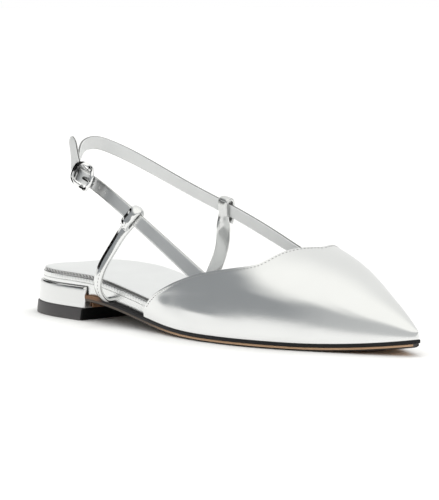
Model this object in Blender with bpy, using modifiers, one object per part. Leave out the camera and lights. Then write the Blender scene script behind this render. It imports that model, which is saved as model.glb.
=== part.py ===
"""Right-foot slingback flat: pointed toe, mirror-silver leather, low block heel.

Stations run along the shoe from the back of the heel, 0, to the toe tip, LENGTH. The inner
(medial) side is +Y and the outer (lateral) side is -Y. Sizes are millimetres until a mesh is
made, when place() turns them into metres about the middle of the shoe on the floor.
"""

import math
from collections import namedtuple

import bmesh
import bpy
import numpy as np
from mathutils import Matrix, Vector

# Driving sizes of the last and the bottom
MM = 0.001
GAP = 0.3
LENGTH = 262.0
BREAST, BREAST_FOOT = 57.5, 56.0
ARCH_RISE = 9.6
ARCH_SKEW = 1.3
BALL_START, BALL_END = 158.0, 205.0
TOE_SPRING = 4.3
TIP_WIDTH = 1.6
OUTSOLE_INSET = 0.6
OUTSOLE_THICK = 1.8
OUTSOLE_BEVEL = 1.5
OUTSOLE_BEVEL_RISE = 0.8
MIDSOLE_THICK = 1.5
MIDSOLE_ROUND = 0.3

# Heel, from the floor up
LIFT_THICK = 6.2
BLOCK_TOP = 17.5
HEEL_FLARE, HEEL_INSET_TOP = 1.4, 0.4
HEEL_EDGE_ROUND = 1.5
HEEL_CORNER_ROUND = 1.6
BREAST_COVER_THICK = 1.0
BREAST_COVER_HALF_WIDTH = 21.5

# Insole board wrapped in leather, with a thin lining on it
INSOLE_INSET = 2.3
INSOLE_TOE_INSET = 0.8
INSOLE_WAIST_THICK, INSOLE_TOE_THICK = 7.4, 3.0
INSOLE_THIN_START, INSOLE_THIN_END = 112.0, 165.0
INSOLE_ROUND = 0.7
SOCK_THICK = 1.2
SOCK_INSET = 0.9
SOCK_ROUND = 0.35
HEEL_RAISE, HEEL_RAISE_END = 1.5, 90.0
MEDIAL_RAISE, MEDIAL_RAISE_END = 3.2, 130.0

# Upper
VAMP_WALL = 1.3
VAMP_INSET = 0.5
RIDGE_SHIFT = 4.0
WING_END = 108.0
STRAP_WIDTH, STRAP_THICK = 6.6, 1.3
STRAP_CHAMFER = 0.35
SEWN_SLACK = 1.0
WIDEN, WIDEN_RUN = 0.18, 0.7
BUCKLE_STRAP_LEAN, SLING_LEAN = 12.0, -8.0
LATERAL_STAY_WIDTH, MEDIAL_STAY_WIDTH = 6.0, 7.2
LATERAL_LEAN, MEDIAL_LEAN = 12.0, -8.0
LATERAL_TURN, MEDIAL_TURN = 0.0, 25.0
KEEPER_DROP, LAP_DROP = 10.5, 7.2

# Buckle
WIRE_RADIUS = 0.8
BAR_RADIUS = 0.6
PRONG_RADIUS = 0.5
FRAME_HALF_LENGTH, FRAME_HALF_WIDTH = 7.6, 5.9
FRAME_CORNER = 5.0
FRAME_BOW = 2.7

# Half widths of the sole's edge from the shoe's axis at each station
Edge = namedtuple("Edge", "x lateral medial")
OUTLINE = (
    Edge(0, 0.0, 0.0),
    Edge(5, 13.0, 12.6),
    Edge(15, 20.8, 20.4),
    Edge(30, 25.2, 24.6),
    Edge(54, 26.6, 25.0),
    Edge(80, 27.6, 24.0),
    Edge(105, 30.4, 25.6),
    Edge(130, 34.6, 30.2),
    Edge(155, 37.0, 35.4),
    Edge(172, 36.2, 37.0),
    Edge(190, 32.6, 35.6),
    Edge(208, 26.4, 31.0),
    Edge(226, 18.2, 23.8),
    Edge(242, 10.0, 16.0),
    Edge(254, 3.3, 9.6),
    Edge(262, -3.0, 3.0),
)

# Height of the last's ridge line over the floor
Ridge = namedtuple("Ridge", "x height")
RIDGE = (
    Ridge(105, 70.0),
    Ridge(150, 59.0),
    Ridge(180, 51.4),
    Ridge(200, 45.8),
    Ridge(220, 37.2),
    Ridge(238, 27.0),
    Ridge(252, 18.5),
    Ridge(262, 11.5),
)

# Squareness of the upper's half sections: 2 is an ellipse, more is squarer
Power = namedtuple("Power", "x power")
POWER = (
    Power(108, 2.0),
    Power(145, 2.05),
    Power(170, 2.35),
    Power(190, 2.65),
    Power(215, 2.6),
    Power(240, 2.4),
    Power(262, 2.3),
)

# The topline: the station where it crosses each share of the way from sole edge to ridge
Topline = namedtuple("Topline", "share x")
TOPLINE = (
    Topline(0.0, 106.0),
    Topline(0.08, 111.0),
    Topline(0.16, 119.5),
    Topline(0.25, 133.0),
    Topline(0.33, 149.5),
    Topline(0.40, 168.5),
    Topline(0.46, 180.5),
    Topline(0.53, 186.6),
    Topline(0.65, 190.6),
    Topline(0.82, 194.6),
    Topline(1.0, 198.8),
)

# Strap ends sewn inside the wings, as places on the upper
Sewn = namedtuple("Sewn", "x share")
SLING_SEWN = (Sewn(190, 0.30), Sewn(181, 0.35), Sewn(172, 0.40))
BUCKLE_STRAP_SEWN = (Sewn(166, 0.2), Sewn(159, 0.245), Sewn(152, 0.285))

# Routes of the straps in the air
Route = namedtuple("Route", "x y z")
SLING_ROUTE = (
    Route(142, 27.4, 45.4),
    Route(103, 30.0, 57.5),
    Route(78, 29.0, 65.5),
    Route(58, 25.5, 73.7),
    Route(44.5, 18.5, 81.2),
    Route(37.2, 7.5, 87.4),
    Route(35.6, -1.5, 89.6),
    Route(36.8, -9.0, 88.2),
    Route(41.0, -15.5, 84.0),
)
BUCKLE_STRAP_ROUTE = (
    Route(128, -28.4, 39.9),
    Route(99, -29.4, 56.3),
    Route(77, -28.9, 67.3),
)
BUCKLE_CENTRE = Route(55.8, -26.5, 74.2)
BUCKLE_HEADING = Route(-0.87, 0.05, 0.32)
TAIL_ROUTE = (
    Route(48.3, -24.6, 84.0),
    Route(46.5, -25.3, 94.0),
)
TAIL_ACROSS = Route(0.97, -0.1, 0.1)
LATERAL_KEEPER, MEDIAL_KEEPER = 99.0, 103.0
LATERAL_STAY_ROUTE = (
    Route(76.2, -33.2, 18.0),
    Route(78.8, -34.2, 27.5),
    Route(86.2, -31.6, 40.5),
)
MEDIAL_STAY_ROUTE = (
    Route(90.6, 30.0, 18.0),
    Route(95.0, 31.0, 28.0),
    Route(100.0, 30.6, 40.0),
)
LATERAL_FOOT, MEDIAL_FOOT = 76.0, 90.0


def cubic(knots, values):
    """The natural cubic curve through values at knots, as a function of the knot variable."""
    x = np.asarray(knots, float)
    y = np.asarray(values, float)
    h = np.diff(x)
    last = len(x) - 1
    system = np.eye(len(x))
    for i in range(1, last):
        system[i, i - 1 : i + 2] = h[i - 1], 2 * (h[i - 1] + h[i]), h[i]
    slopes = np.diff(y, axis=0) / h.reshape(-1, *[1] * (y.ndim - 1))
    right = np.zeros_like(y)
    right[1:-1] = 6 * np.diff(slopes, axis=0)
    bend = np.linalg.solve(system, right)

    def at(v):
        i = int(np.clip(np.searchsorted(x, v) - 1, 0, last - 1))
        a, b = x[i + 1] - v, v - x[i]
        return (
            (bend[i] * a**3 + bend[i + 1] * b**3) / (6 * h[i])
            + (y[i] / h[i] - bend[i] * h[i] / 6) * a
            + (y[i + 1] / h[i] - bend[i + 1] * h[i] / 6) * b
        )

    return at


def ease(share):
    """0 to 1 with level ends."""
    share = min(1.0, max(0.0, share))
    return share * share * (3 - 2 * share)


def place(point):
    """A point of the last in metres, with the shoe's middle over the origin."""
    x, y, z = point
    return Vector(((x - (LENGTH - HEEL_FLARE) / 2) * MM, y * MM, z * MM))


# The last and the layers of the bottom
def along(x):
    """0 at the heel, 1 at the toe tip, crowded at both round ends."""
    return math.acos(min(1.0, max(-1.0, 1 - 2 * x / LENGTH))) / math.pi


def station(t):
    return LENGTH * (1 - math.cos(math.pi * t)) / 2


EDGE_AT = {
    "lateral": cubic([along(r.x) for r in OUTLINE], [-r.lateral for r in OUTLINE]),
    "medial": cubic([along(r.x) for r in OUTLINE], [r.medial for r in OUTLINE]),
}
OUTWARD = {"lateral": -1, "medial": 1}
RIDGE_AT = cubic([r.x for r in RIDGE], [r.height for r in RIDGE])
POWER_AT = cubic([r.x for r in POWER], [r.power for r in POWER])
TOPLINE_AT = cubic([r.share for r in TOPLINE], [r.x for r in TOPLINE])


def edge(side, t, inset=0.0):
    """The sole edge at t on one side, moved inwards by inset: (x, y)."""
    low, high = max(0.0, t - 1e-4), min(1.0, t + 1e-4)
    run = Vector((station(high) - station(low), EDGE_AT[side](high) - EDGE_AT[side](low)))
    run.normalize()
    turn = OUTWARD[side] * inset
    return station(t) + turn * run.y, EDGE_AT[side](t) - turn * run.x


def sole_bottom(x):
    if x < BALL_START:
        share = min(1.0, (BALL_START - x) / (BALL_START - BREAST))
        return ARCH_RISE * ease(share**ARCH_SKEW)
    return TOE_SPRING * max(0.0, (x - BALL_END) / (LENGTH - BALL_END)) ** 2


def midsole_bottom(x):
    return sole_bottom(x) + OUTSOLE_THICK + GAP


def midsole_top(x):
    return midsole_bottom(x) + MIDSOLE_THICK


def insole_inset(x):
    return INSOLE_INSET + INSOLE_TOE_INSET * ease((x - INSOLE_THIN_START) / 50)


def insole_bottom(x):
    if x < BREAST + 2 * GAP:
        return BLOCK_TOP + GAP
    return midsole_top(x) + GAP


def insole_top(x, y):
    """The foot bed: level at the heel, down the arch, thin at the toes, raised on the inner side."""
    share = ease((x - INSOLE_THIN_START) / (INSOLE_THIN_END - INSOLE_THIN_START))
    thick = INSOLE_WAIST_THICK + (INSOLE_TOE_THICK - INSOLE_WAIST_THICK) * share
    side = max(0.0, y / EDGE_AT["medial"](along(min(max(x, 1.0), LENGTH - 1.0))))
    raised = MEDIAL_RAISE * side**2 * ease((MEDIAL_RAISE_END - x) / 60) * ease(x / 30)
    raised += HEEL_RAISE * ease((HEEL_RAISE_END - x) / 50)
    return midsole_top(max(x, BREAST)) + GAP + thick + raised


def sock_bottom(x, y):
    return insole_top(x, y) + GAP


def sock_top(x, y):
    return sock_bottom(x, y) + SOCK_THICK


def section_point(x, share, side):
    """A point of the upper's outer face: share 0 at the sole's edge, 1 at the ridge."""
    t = along(x)
    _, foot_y = edge(side, t, VAMP_INSET)
    middle = (EDGE_AT["lateral"](t) + EDGE_AT["medial"](t)) / 2
    ridge_y = middle + RIDGE_SHIFT * (1 - ((x - WING_END) / (LENGTH - WING_END)) ** 2)
    foot_z = midsole_top(x) + GAP
    angle = share * math.pi / 2
    across = max(0.0, math.cos(angle)) ** (2 / POWER_AT(x))
    up = max(0.0, math.sin(angle)) ** (2 / POWER_AT(x))
    back = VAMP_INSET * ease((x - LENGTH + 20) / 20)
    return Vector(
        (x - back, ridge_y + (foot_y - ridge_y) * across, foot_z + (RIDGE_AT(x) - foot_z) * up)
    )


def section_normal(x, share, side):
    """Outward normal of the upper there."""
    ahead = section_point(x + 1, share, side) - section_point(x - 1, share, side)
    up = section_point(x, share + 0.01, side) - section_point(x, share - 0.01, side)
    normal = ahead.cross(up).normalized()
    return normal if normal.y * OUTWARD[side] > 0 else -normal


# Makers of meshes and objects
def material(name, colour, roughness, metallic):
    made = bpy.data.materials.new(name)
    made.use_nodes = True
    shader = made.node_tree.nodes["Principled BSDF"]
    shader.inputs["Base Color"].default_value = (*colour, 1)
    shader.inputs["Roughness"].default_value = roughness
    shader.inputs["Metallic"].default_value = metallic
    return made


def add_object(name, shape, finish, collection):
    mesh = bpy.data.meshes.new(name)
    shape.to_mesh(mesh)
    shape.free()
    made = bpy.data.objects.new(name, mesh)
    mesh.materials.append(finish)
    collection.objects.link(made)
    return made


def loft(name, loops, finish, collection, closed=False):
    """One closed solid through equal loops of points in millimetres."""
    shape = bmesh.new()
    rings = [[shape.verts.new(place(point)) for point in loop] for loop in loops]
    count = len(rings[0])
    pairs = list(zip(rings, rings[1:]))
    if closed:
        pairs.append((rings[-1], rings[0]))
    for ring, following in pairs:
        for i in range(count):
            j = (i + 1) % count
            shape.faces.new((ring[i], ring[j], following[j], following[i]))
    if not closed:
        shape.faces.new(rings[0][::-1])
        shape.faces.new(rings[-1])
    bmesh.ops.recalc_face_normals(shape, faces=shape.faces)
    return add_object(name, shape, finish, collection)


def between(start, end, count):
    """Points strictly between two (x, y) places."""
    for i in range(1, count):
        yield (
            start[0] + (end[0] - start[0]) * i / count,
            start[1] + (end[1] - start[1]) * i / count,
        )


Layer = namedtuple("Layer", "inset height")


def plate(name, ts, layers, finish, collection, across=4):
    """A layer of the bottom: its side from bottom to top as layers of (inset(x), height(x, y))."""
    loops = []
    for t in ts:
        sides = {}
        for side in OUTWARD:
            places = [edge(side, t, layer.inset(station(t))) for layer in layers]
            sides[side] = [(*p, layer.height(*p)) for p, layer in zip(places, layers)]
        lateral, medial = sides["lateral"], sides["medial"]
        top = [(*p, layers[-1].height(*p)) for p in between(lateral[-1], medial[-1], across)]
        bottom = [(*p, layers[0].height(*p)) for p in between(medial[0], lateral[0], across)]
        loops.append(lateral + top + medial[::-1] + bottom)
    return loft(name, loops, finish, collection)


def spread(start, end, count):
    return [start + (end - start) * i / (count - 1) for i in range(count)]


def toe_end(inset):
    """The last t towards the toe where an outline moved in by inset still has some width."""
    t = 0.99
    while edge("medial", t, inset)[1] - edge("lateral", t, inset)[1] < TIP_WIDTH:
        t -= 0.001
    return t


def path(rows, step, lean_degrees=0.0):
    """Points, width directions and headings on a smooth curve through rows of (place, width).

    A row with no width direction gets an upright one, turned about the heading by the lean.
    """
    places = [Vector(row[0]) for row in rows]
    widths = []
    for i, (_, width) in enumerate(rows):
        if width is None:
            run = places[min(i + 1, len(rows) - 1)] - places[max(i - 1, 0)]
            face = run.cross(Vector((0, 0, 1)))
            width = face.cross(run).normalized()
            width.rotate(Matrix.Rotation(math.radians(lean_degrees), 3, run))
        widths.append(Vector(width).normalized())
    steps = [(b - a).length for a, b in zip(places, places[1:])]
    knots = np.concatenate([[0.0], np.cumsum(steps)])
    curve = cubic(knots, places)
    width_curve = cubic(knots, widths)
    shares = [0.0]
    for start, end in zip(knots, knots[1:]):
        pieces = max(1, round((end - start) / step))
        shares += [start + (end - start) * (i + 1) / pieces for i in range(pieces)]
    small = 0.01
    headings = [Vector(curve(s + small) - curve(s - small)).normalized() for s in shares]
    return (
        [Vector(curve(s)) for s in shares],
        [Vector(width_curve(s)) for s in shares],
        headings,
    )


def ribbon(name, route, width, finish, collection, ends=(), widen=0.0):
    """A flat strap swept along a path, with chamfered edges.

    ends gives the share of the full width at the last points, for a pointed end.
    widen is the share by which its first point is wider, lost evenly on the way to the buckle.
    """
    loops = []
    last = len(route[0]) - 1
    for i, (point, wide, run) in enumerate(zip(*route)):
        across = (wide - run * wide.dot(run)).normalized()
        face = run.cross(across)
        share = ends[last - i] if last - i < len(ends) else 1.0
        share += widen * max(0.0, 1 - i / (WIDEN_RUN * last))
        a, b, c = width / 2 * share, STRAP_THICK / 2, STRAP_CHAMFER
        corners = ((a - c, b), (a, b - c), (a, c - b), (a - c, -b))
        corners += tuple((-u, -v) for u, v in corners)
        loops.append([point + across * u + face * v for u, v in corners])
    return loft(name, loops, finish, collection)


def tube(name, points, radius, finish, collection, side_axis, closed=False, sides=8, taper=()):
    """A round rod along points; side_axis is never along the path."""
    loops = []
    last = len(points) - 1
    for i, point in enumerate(points):
        before = points[i - 1] if closed or i else point
        after = points[(i + 1) % len(points)] if closed or i < last else point
        run = (after - before).normalized()
        across = (side_axis - run * side_axis.dot(run)).normalized()
        face = run.cross(across)
        size = radius * (taper[last - i] if last - i < len(taper) else 1.0)
        turns = [2 * math.pi * k / sides for k in range(sides)]
        loops.append(
            [point + across * size * math.cos(a) + face * size * math.sin(a) for a in turns]
        )
    return loft(name, loops, finish, collection, closed)


def box_loops(origin, axes, low, high):
    """Two square loops of a box given in its own axes, for loft."""
    corners = ((low[0], low[1]), (high[0], low[1]), (high[0], high[1]), (low[0], high[1]))
    return [
        [origin + axes[0] * u + axes[1] * v + axes[2] * depth for u, v in corners]
        for depth in (low[2], high[2])
    ]


def combine(target, other, operation):
    """A Boolean of other on target, kept live."""
    step = target.modifiers.new(operation.title(), "BOOLEAN")
    step.operation = operation
    step.solver = "EXACT"
    step.object = other


# Clean scene with one collection for the shoe and one for its cutters
for old in list(bpy.data.objects):
    bpy.data.objects.remove(old, do_unlink=True)
SHOE = bpy.data.collections.new("slingback_flat")
CUTTERS = bpy.data.collections.new("cutters")
bpy.context.scene.collection.children.link(SHOE)
bpy.context.scene.collection.children.link(CUTTERS)

# Outsole: tan leather, its lower edge bevelled
outsole = plate(
    "outsole",
    spread(along(BREAST + GAP), toe_end(OUTSOLE_INSET + OUTSOLE_BEVEL), 30),
    (
        Layer(lambda x: OUTSOLE_INSET + OUTSOLE_BEVEL, lambda x, y: sole_bottom(x)),
        Layer(lambda x: OUTSOLE_INSET, lambda x, y: sole_bottom(x) + OUTSOLE_BEVEL_RISE),
        Layer(lambda x: OUTSOLE_INSET, lambda x, y: sole_bottom(x) + OUTSOLE_THICK),
    ),
    material("tan_leather", (0.47, 0.27, 0.13), 0.55, 0.0),
    SHOE,
)

# Midsole: the black edge under the upper
midsole = plate(
    "midsole",
    spread(along(BREAST + GAP), toe_end(MIDSOLE_ROUND), 30),
    (
        Layer(lambda x: MIDSOLE_ROUND, lambda x, y: midsole_bottom(x)),
        Layer(lambda x: 0.0, lambda x, y: midsole_bottom(x) + MIDSOLE_ROUND),
        Layer(lambda x: 0.0, lambda x, y: midsole_top(x) - MIDSOLE_ROUND),
        Layer(lambda x: MIDSOLE_ROUND, lambda x, y: midsole_top(x)),
    ),
    material("black_edge", (0.012, 0.012, 0.013), 0.35, 0.0),
    SHOE,
)


# Heel: rubber lift, silver-covered block and the tan cover of its front
def heel_front(z):
    """Station of the heel's front face, which leans forwards."""
    return BREAST_FOOT + (BREAST - BREAST_FOOT) * z / BLOCK_TOP


def heel_loop(z, draw_in):
    """The heel's outline at one height, round at the back, flat at the front with round corners.

    draw_in is how far an edge's rounding takes it inside the flared side.
    """
    r = HEEL_CORNER_ROUND
    inset = (HEEL_INSET_TOP + HEEL_FLARE) * z / BLOCK_TOP - HEEL_FLARE + draw_in
    front = heel_front(z) - draw_in
    corner_t = along(front - r)
    run = [corner_t * (1 - i / 9) ** 1.15 for i in range(10)]
    lateral = [edge("lateral", t, inset) for t in run]
    medial = [edge("medial", t, inset) for t in run[-2::-1]]
    turns = [math.radians(a) for a in (30, 60, 90)]
    arc = [(r * math.sin(a) - r, r * (1 - math.cos(a))) for a in turns]
    start, end = medial[-1][1], lateral[0][1]
    front_medial = [(front + dx, start - dy) for dx, dy in arc]
    front_lateral = [(front + dx, end + dy) for dx, dy in arc][::-1]
    return [(*p, z) for p in lateral + medial + front_medial + front_lateral]


heel_lift = loft(
    "heel_lift",
    [
        heel_loop(0.0, 0.5),
        heel_loop(0.5, 0.0),
        heel_loop(LIFT_THICK - 0.3, 0.0),
        heel_loop(LIFT_THICK, 0.2),
    ],
    material("black_rubber", (0.018, 0.018, 0.018), 0.6, 0.0),
    SHOE,
)
block_foot = LIFT_THICK + GAP
block_loops = [heel_loop(block_foot, 0.2), heel_loop(block_foot + 0.3, 0.0)]
for degrees in (0, 30, 60, 90):
    turn = math.radians(degrees)
    level = BLOCK_TOP - HEEL_EDGE_ROUND * (1 - math.sin(turn))
    block_loops.append(heel_loop(level, HEEL_EDGE_ROUND * (1 - math.cos(turn))))
SILVER = material("silver_leather", (0.78, 0.78, 0.77), 0.22, 1.0)
heel_block = loft("heel_block", block_loops, SILVER, SHOE)

cover_axes = (Vector((1, 0, 0)), Vector((0, 1, 0)), Vector((0, 0, 1)))
cover_top = sole_bottom(BREAST) - GAP
breast_cover = loft(
    "breast_cover",
    box_loops(
        Vector((heel_front(cover_top) + GAP, 0, 0)),
        cover_axes,
        (0, -BREAST_COVER_HALF_WIDTH, LIFT_THICK + GAP),
        (BREAST_COVER_THICK, BREAST_COVER_HALF_WIDTH, cover_top),
    ),
    material("breast_leather", (0.30, 0.15, 0.07), 0.6, 0.0),
    SHOE,
)

# Insole: wrapped board, stepped over the heel block
STEP = [along(BREAST + 2 * GAP - 0.3), along(BREAST + 2 * GAP + 0.3)]
INSOLE_TIP = toe_end(insole_inset(LENGTH) + INSOLE_ROUND)
INSOLE_RUN = spread(0.018, STEP[0], 10) + spread(STEP[1], INSOLE_TIP, 24)
insole = plate(
    "insole",
    INSOLE_RUN,
    (
        Layer(insole_inset, lambda x, y: insole_bottom(x)),
        Layer(insole_inset, lambda x, y: insole_top(x, y) - INSOLE_ROUND),
        Layer(lambda x: insole_inset(x) + INSOLE_ROUND, insole_top),
    ),
    material("insole_silver", (0.72, 0.72, 0.71), 0.4, 0.7),
    SHOE,
)
sock = plate(
    "sock",
    spread(0.025, toe_end(insole_inset(LENGTH) + SOCK_INSET + SOCK_ROUND), 30),
    (
        Layer(lambda x: insole_inset(x) + SOCK_INSET, sock_bottom),
        Layer(
            lambda x: insole_inset(x) + SOCK_INSET, lambda x, y: sock_top(x, y) - SOCK_ROUND
        ),
        Layer(lambda x: insole_inset(x) + SOCK_INSET + SOCK_ROUND, sock_top),
    ),
    material("sock_silver", (0.74, 0.74, 0.73), 0.45, 0.6),
    SHOE,
)

# Vamp: an open skin from the topline to the toe, thickened inwards
GIRTH_STEPS, WING_STEPS, TOE_STEPS = 12, 20, 16
skin = bmesh.new()
wing_shares = [0.03 + 0.97 * (i / WING_STEPS) for i in range(WING_STEPS + 1)]
toe_ts = spread(along(TOPLINE_AT(1.0)), 1.0, TOE_STEPS + 1)
for side in OUTWARD:
    sections = [(TOPLINE_AT(share), share) for share in wing_shares]
    sections += [(station(t), 1.0) for t in toe_ts[1:]]
    rows = []
    for x, top_share in sections:
        shares = [top_share * i / GIRTH_STEPS for i in range(GIRTH_STEPS + 1)]
        rows.append([skin.verts.new(place(section_point(x, s, side))) for s in shares])
    for row, following in zip(rows, rows[1:]):
        for i in range(GIRTH_STEPS):
            skin.faces.new((row[i], row[i + 1], following[i + 1], following[i]))
bmesh.ops.remove_doubles(skin, verts=skin.verts, dist=1e-6)
bmesh.ops.recalc_face_normals(skin, faces=skin.faces)
highest = max(skin.faces, key=lambda face: face.calc_center_median().z)
if highest.normal.z < 0:
    bmesh.ops.reverse_faces(skin, faces=skin.faces)
vamp = add_object("vamp", skin, SILVER.copy(), SHOE)
shell = vamp.modifiers.new("Wall", "SOLIDIFY")
shell.thickness = VAMP_WALL * MM
shell.offset = -1
shell.use_even_offset = True
shell.use_quality_normals = True

# Straps: local axes of the buckle, along the strap to the heel, outward, and up
heelward = Vector(BUCKLE_HEADING).normalized()
outward = Vector((0, 0, 1)).cross(heelward).normalized()
if outward.y > 0:
    outward = -outward
upward = outward.cross(heelward).normalized()
if upward.z < 0:
    upward = -upward
buckle_turn = Matrix.Rotation(math.radians(BUCKLE_STRAP_LEAN), 3, heelward)
outward.rotate(buckle_turn)
upward.rotate(buckle_turn)


def at_buckle(run, out, up=0.0):
    return Vector(BUCKLE_CENTRE) + heelward * run + outward * out + upward * up


def sewn(place_on_upper, side):
    """A strap's middle under the upper's wall, and its width direction there."""
    x, share = place_on_upper
    normal = section_normal(x, share, side)
    depth = VAMP_WALL + GAP + STRAP_THICK / 2 + SEWN_SLACK
    ahead = section_point(x + 9, share - 0.05, side) - section_point(x, share, side)
    width = normal.cross(ahead).normalized()
    return section_point(x, share, side) - normal * depth, width if width.z > 0 else -width


LINED = material("strap_silver", (0.76, 0.76, 0.75), 0.25, 1.0)
bar_level = -FRAME_BOW
fold = BAR_RADIUS + GAP + STRAP_THICK / 2
under_frame = -(WIRE_RADIUS + GAP + STRAP_THICK / 2)
under_tail = under_frame - STRAP_THICK - GAP

# Sling: inner wing, round the heel, folded round the buckle's bar
sling_rows = [sewn(p, "medial") for p in SLING_SEWN]
sling_rows += [(route, None) for route in SLING_ROUTE]
sling_rows += [
    (at_buckle(run, out), upward)
    for run, out in ((12, -5.6), (8, under_tail - 0.4), (3.6, -2.5), (1, bar_level + fold))
]
fold_turns = [math.radians(a) for a in range(90, 271, 30)]
sling_rows += [
    (at_buckle(fold * math.cos(a), bar_level + fold * math.sin(a)), upward) for a in fold_turns
]
sling_rows += [
    (at_buckle(run, out), upward) for run, out in ((3.6, -4.4), (8, -5.6), (11.5, -7.2))
]
sling_path = path(sling_rows, 4.0, SLING_LEAN)
sling_strap = ribbon("sling_strap", sling_path, STRAP_WIDTH, LINED, SHOE)
buckle_axes = (heelward, upward, outward)
prong_gate = loft(
    "prong_gate",
    box_loops(Vector(BUCKLE_CENTRE), buckle_axes, (-2.9, -1.0, -4.9), (2.0, 1.0, 0.2)),
    LINED,
    CUTTERS,
)
combine(sling_strap, prong_gate, "DIFFERENCE")

# Strap with the free tail: outer wing, under the frame, over the bar
tail_rows = [sewn(p, "lateral") for p in BUCKLE_STRAP_SEWN]
tail_rows += [(route, None) for route in BUCKLE_STRAP_ROUTE]
tail_rows += [
    (at_buckle(run, out), upward)
    for run, out in (
        (-FRAME_HALF_LENGTH - 1.5, under_frame),
        (-FRAME_HALF_LENGTH + 1.0, under_frame),
        (-0.5, bar_level + fold + STRAP_THICK + GAP),
        (1.8, bar_level + fold + STRAP_THICK + GAP),
        (FRAME_HALF_LENGTH - 1.0, under_frame),
        (FRAME_HALF_LENGTH + 1.5, under_frame),
    )
]
tail_rows += [(route, Vector(TAIL_ACROSS)) for route in TAIL_ROUTE]
tail_path = path(tail_rows, 3.5, BUCKLE_STRAP_LEAN)
buckle_strap = ribbon(
    "buckle_strap", tail_path, STRAP_WIDTH, LINED, SHOE, ends=(0.35, 0.85), widen=WIDEN
)
prong_hole = loft(
    "prong_hole",
    box_loops(Vector(BUCKLE_CENTRE), buckle_axes, (-3.8, -0.85, -2.2), (-0.2, 0.85, 2.2)),
    LINED,
    CUTTERS,
)
combine(buckle_strap, prong_hole, "DIFFERENCE")


# Side stays: from under the insole, up and folded over the straps
def stay(name, side, strip_width, strap_path, keeper_x, lean_degrees, turn_degrees, routes, foot_x):
    """A side loop; lean_degrees turns its keeper from square across the strap.

    turn_degrees turns its free run about the upright, towards the toe.
    """
    sign = OUTWARD[side]
    beside = [row for row in zip(*strap_path) if row[0].y * sign > 0]
    middle, wide, run = min(beside, key=lambda row: abs(row[0].x - keeper_x))
    if run.x > 0:
        run = -run
    up = (wide - run * wide.dot(run)).normalized()
    inward = run.cross(up)
    if inward.y * sign > 0:
        inward = -inward
    lean = math.radians(lean_degrees)
    climb = up * math.cos(lean) - run * math.sin(lean)
    width = run * math.cos(lean) + up * math.sin(lean)
    reach = STRAP_THICK + GAP + 0.1
    crown = STRAP_WIDTH / 2 + 0.2
    slope = Vector((1, 0, midsole_top(foot_x + 0.5) - midsole_top(foot_x - 0.5)))
    foot_y = EDGE_AT[side](along(foot_x))
    foot_z = midsole_top(foot_x) + GAP + STRAP_THICK / 2 + 0.05
    rows = [
        (Vector((foot_x, foot_y - sign * 10, foot_z)), -slope),
        (Vector((foot_x, foot_y - sign * 3, foot_z)), -slope),
        (Vector((foot_x, foot_y + sign * 1.2, foot_z)), -slope),
        (Vector((foot_x, foot_y + sign * 3.6, foot_z + 1.7)), -slope),
    ]
    for i, route in enumerate(routes):
        twist = Matrix.Rotation(math.radians(turn_degrees * (1.0 - 0.2 * i)), 3, "Z")
        rows.append((Vector(route), twist @ -slope.lerp(-width, (i + 1) / 4)))
    rows += [(middle + inward * reach + climb * h, width) for h in (-KEEPER_DROP, -4.0, 0.0, crown)]
    for a in (45, 90, 135):
        turn = math.radians(a)
        rows.append(
            (middle + inward * reach * math.cos(turn) + climb * (crown + reach * math.sin(turn)), width)
        )
    rows += [(middle - inward * reach + climb * h, width) for h in (crown, 0.0, -4.4)]
    lap = reach - STRAP_THICK - GAP - 0.2
    rows.append((middle + inward * lap - climb * LAP_DROP, width))
    made = ribbon(name, path(rows, 3.0), strip_width, LINED, SHOE)
    side_axis = Vector((0, 1, 0))
    fore = slope.normalized()
    mouth = loft(
        name + "_mouth",
        box_loops(
            Vector((foot_x, foot_y, foot_z)),
            (fore, side_axis, fore.cross(side_axis)),
            (-strip_width / 2 - GAP, -11, -STRAP_THICK / 2 - 1.5),
            (strip_width / 2 + GAP, 11, STRAP_THICK / 2 + GAP),
        ),
        LINED,
        CUTTERS,
    )
    combine(insole, mouth, "DIFFERENCE")
    return made


stay_lateral = stay(
    "stay_lateral",
    "lateral",
    LATERAL_STAY_WIDTH,
    tail_path,
    LATERAL_KEEPER,
    LATERAL_LEAN,
    LATERAL_TURN,
    LATERAL_STAY_ROUTE,
    LATERAL_FOOT,
)
stay_medial = stay(
    "stay_medial",
    "medial",
    MEDIAL_STAY_WIDTH,
    sling_path,
    MEDIAL_KEEPER,
    MEDIAL_LEAN,
    MEDIAL_TURN,
    MEDIAL_STAY_ROUTE,
    MEDIAL_FOOT,
)

# Buckle: bowed wire frame with its bar, and the prong
CHROME = material("buckle_metal", (0.82, 0.82, 0.82), 0.12, 1.0)
frame_points = []
for quarter in range(4):
    signs = ((1, 1), (-1, 1), (-1, -1), (1, -1))[quarter]
    for step in range(5):
        turn = math.radians(90 * quarter + 22.5 * step)
        run = signs[0] * (FRAME_HALF_LENGTH - FRAME_CORNER) + FRAME_CORNER * math.cos(turn)
        up = signs[1] * (FRAME_HALF_WIDTH - FRAME_CORNER) + FRAME_CORNER * math.sin(turn)
        out = -FRAME_BOW * (1 - (run / FRAME_HALF_LENGTH) ** 2) ** 2
        frame_points.append(at_buckle(run, out, up))
    if quarter in (0, 2):
        frame_points.append(at_buckle(0.0, -FRAME_BOW, signs[1] * FRAME_HALF_WIDTH))
buckle_frame = tube(
    "buckle_frame", frame_points, WIRE_RADIUS, CHROME, SHOE, outward, closed=True
)
buckle_bar = tube(
    "buckle_bar",
    [at_buckle(0, bar_level, up) for up in (-FRAME_HALF_WIDTH, 0, FRAME_HALF_WIDTH)],
    BAR_RADIUS,
    CHROME,
    CUTTERS,
    outward,
)
combine(buckle_frame, buckle_bar, "UNION")
hook = BAR_RADIUS + 0.2 + PRONG_RADIUS
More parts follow.
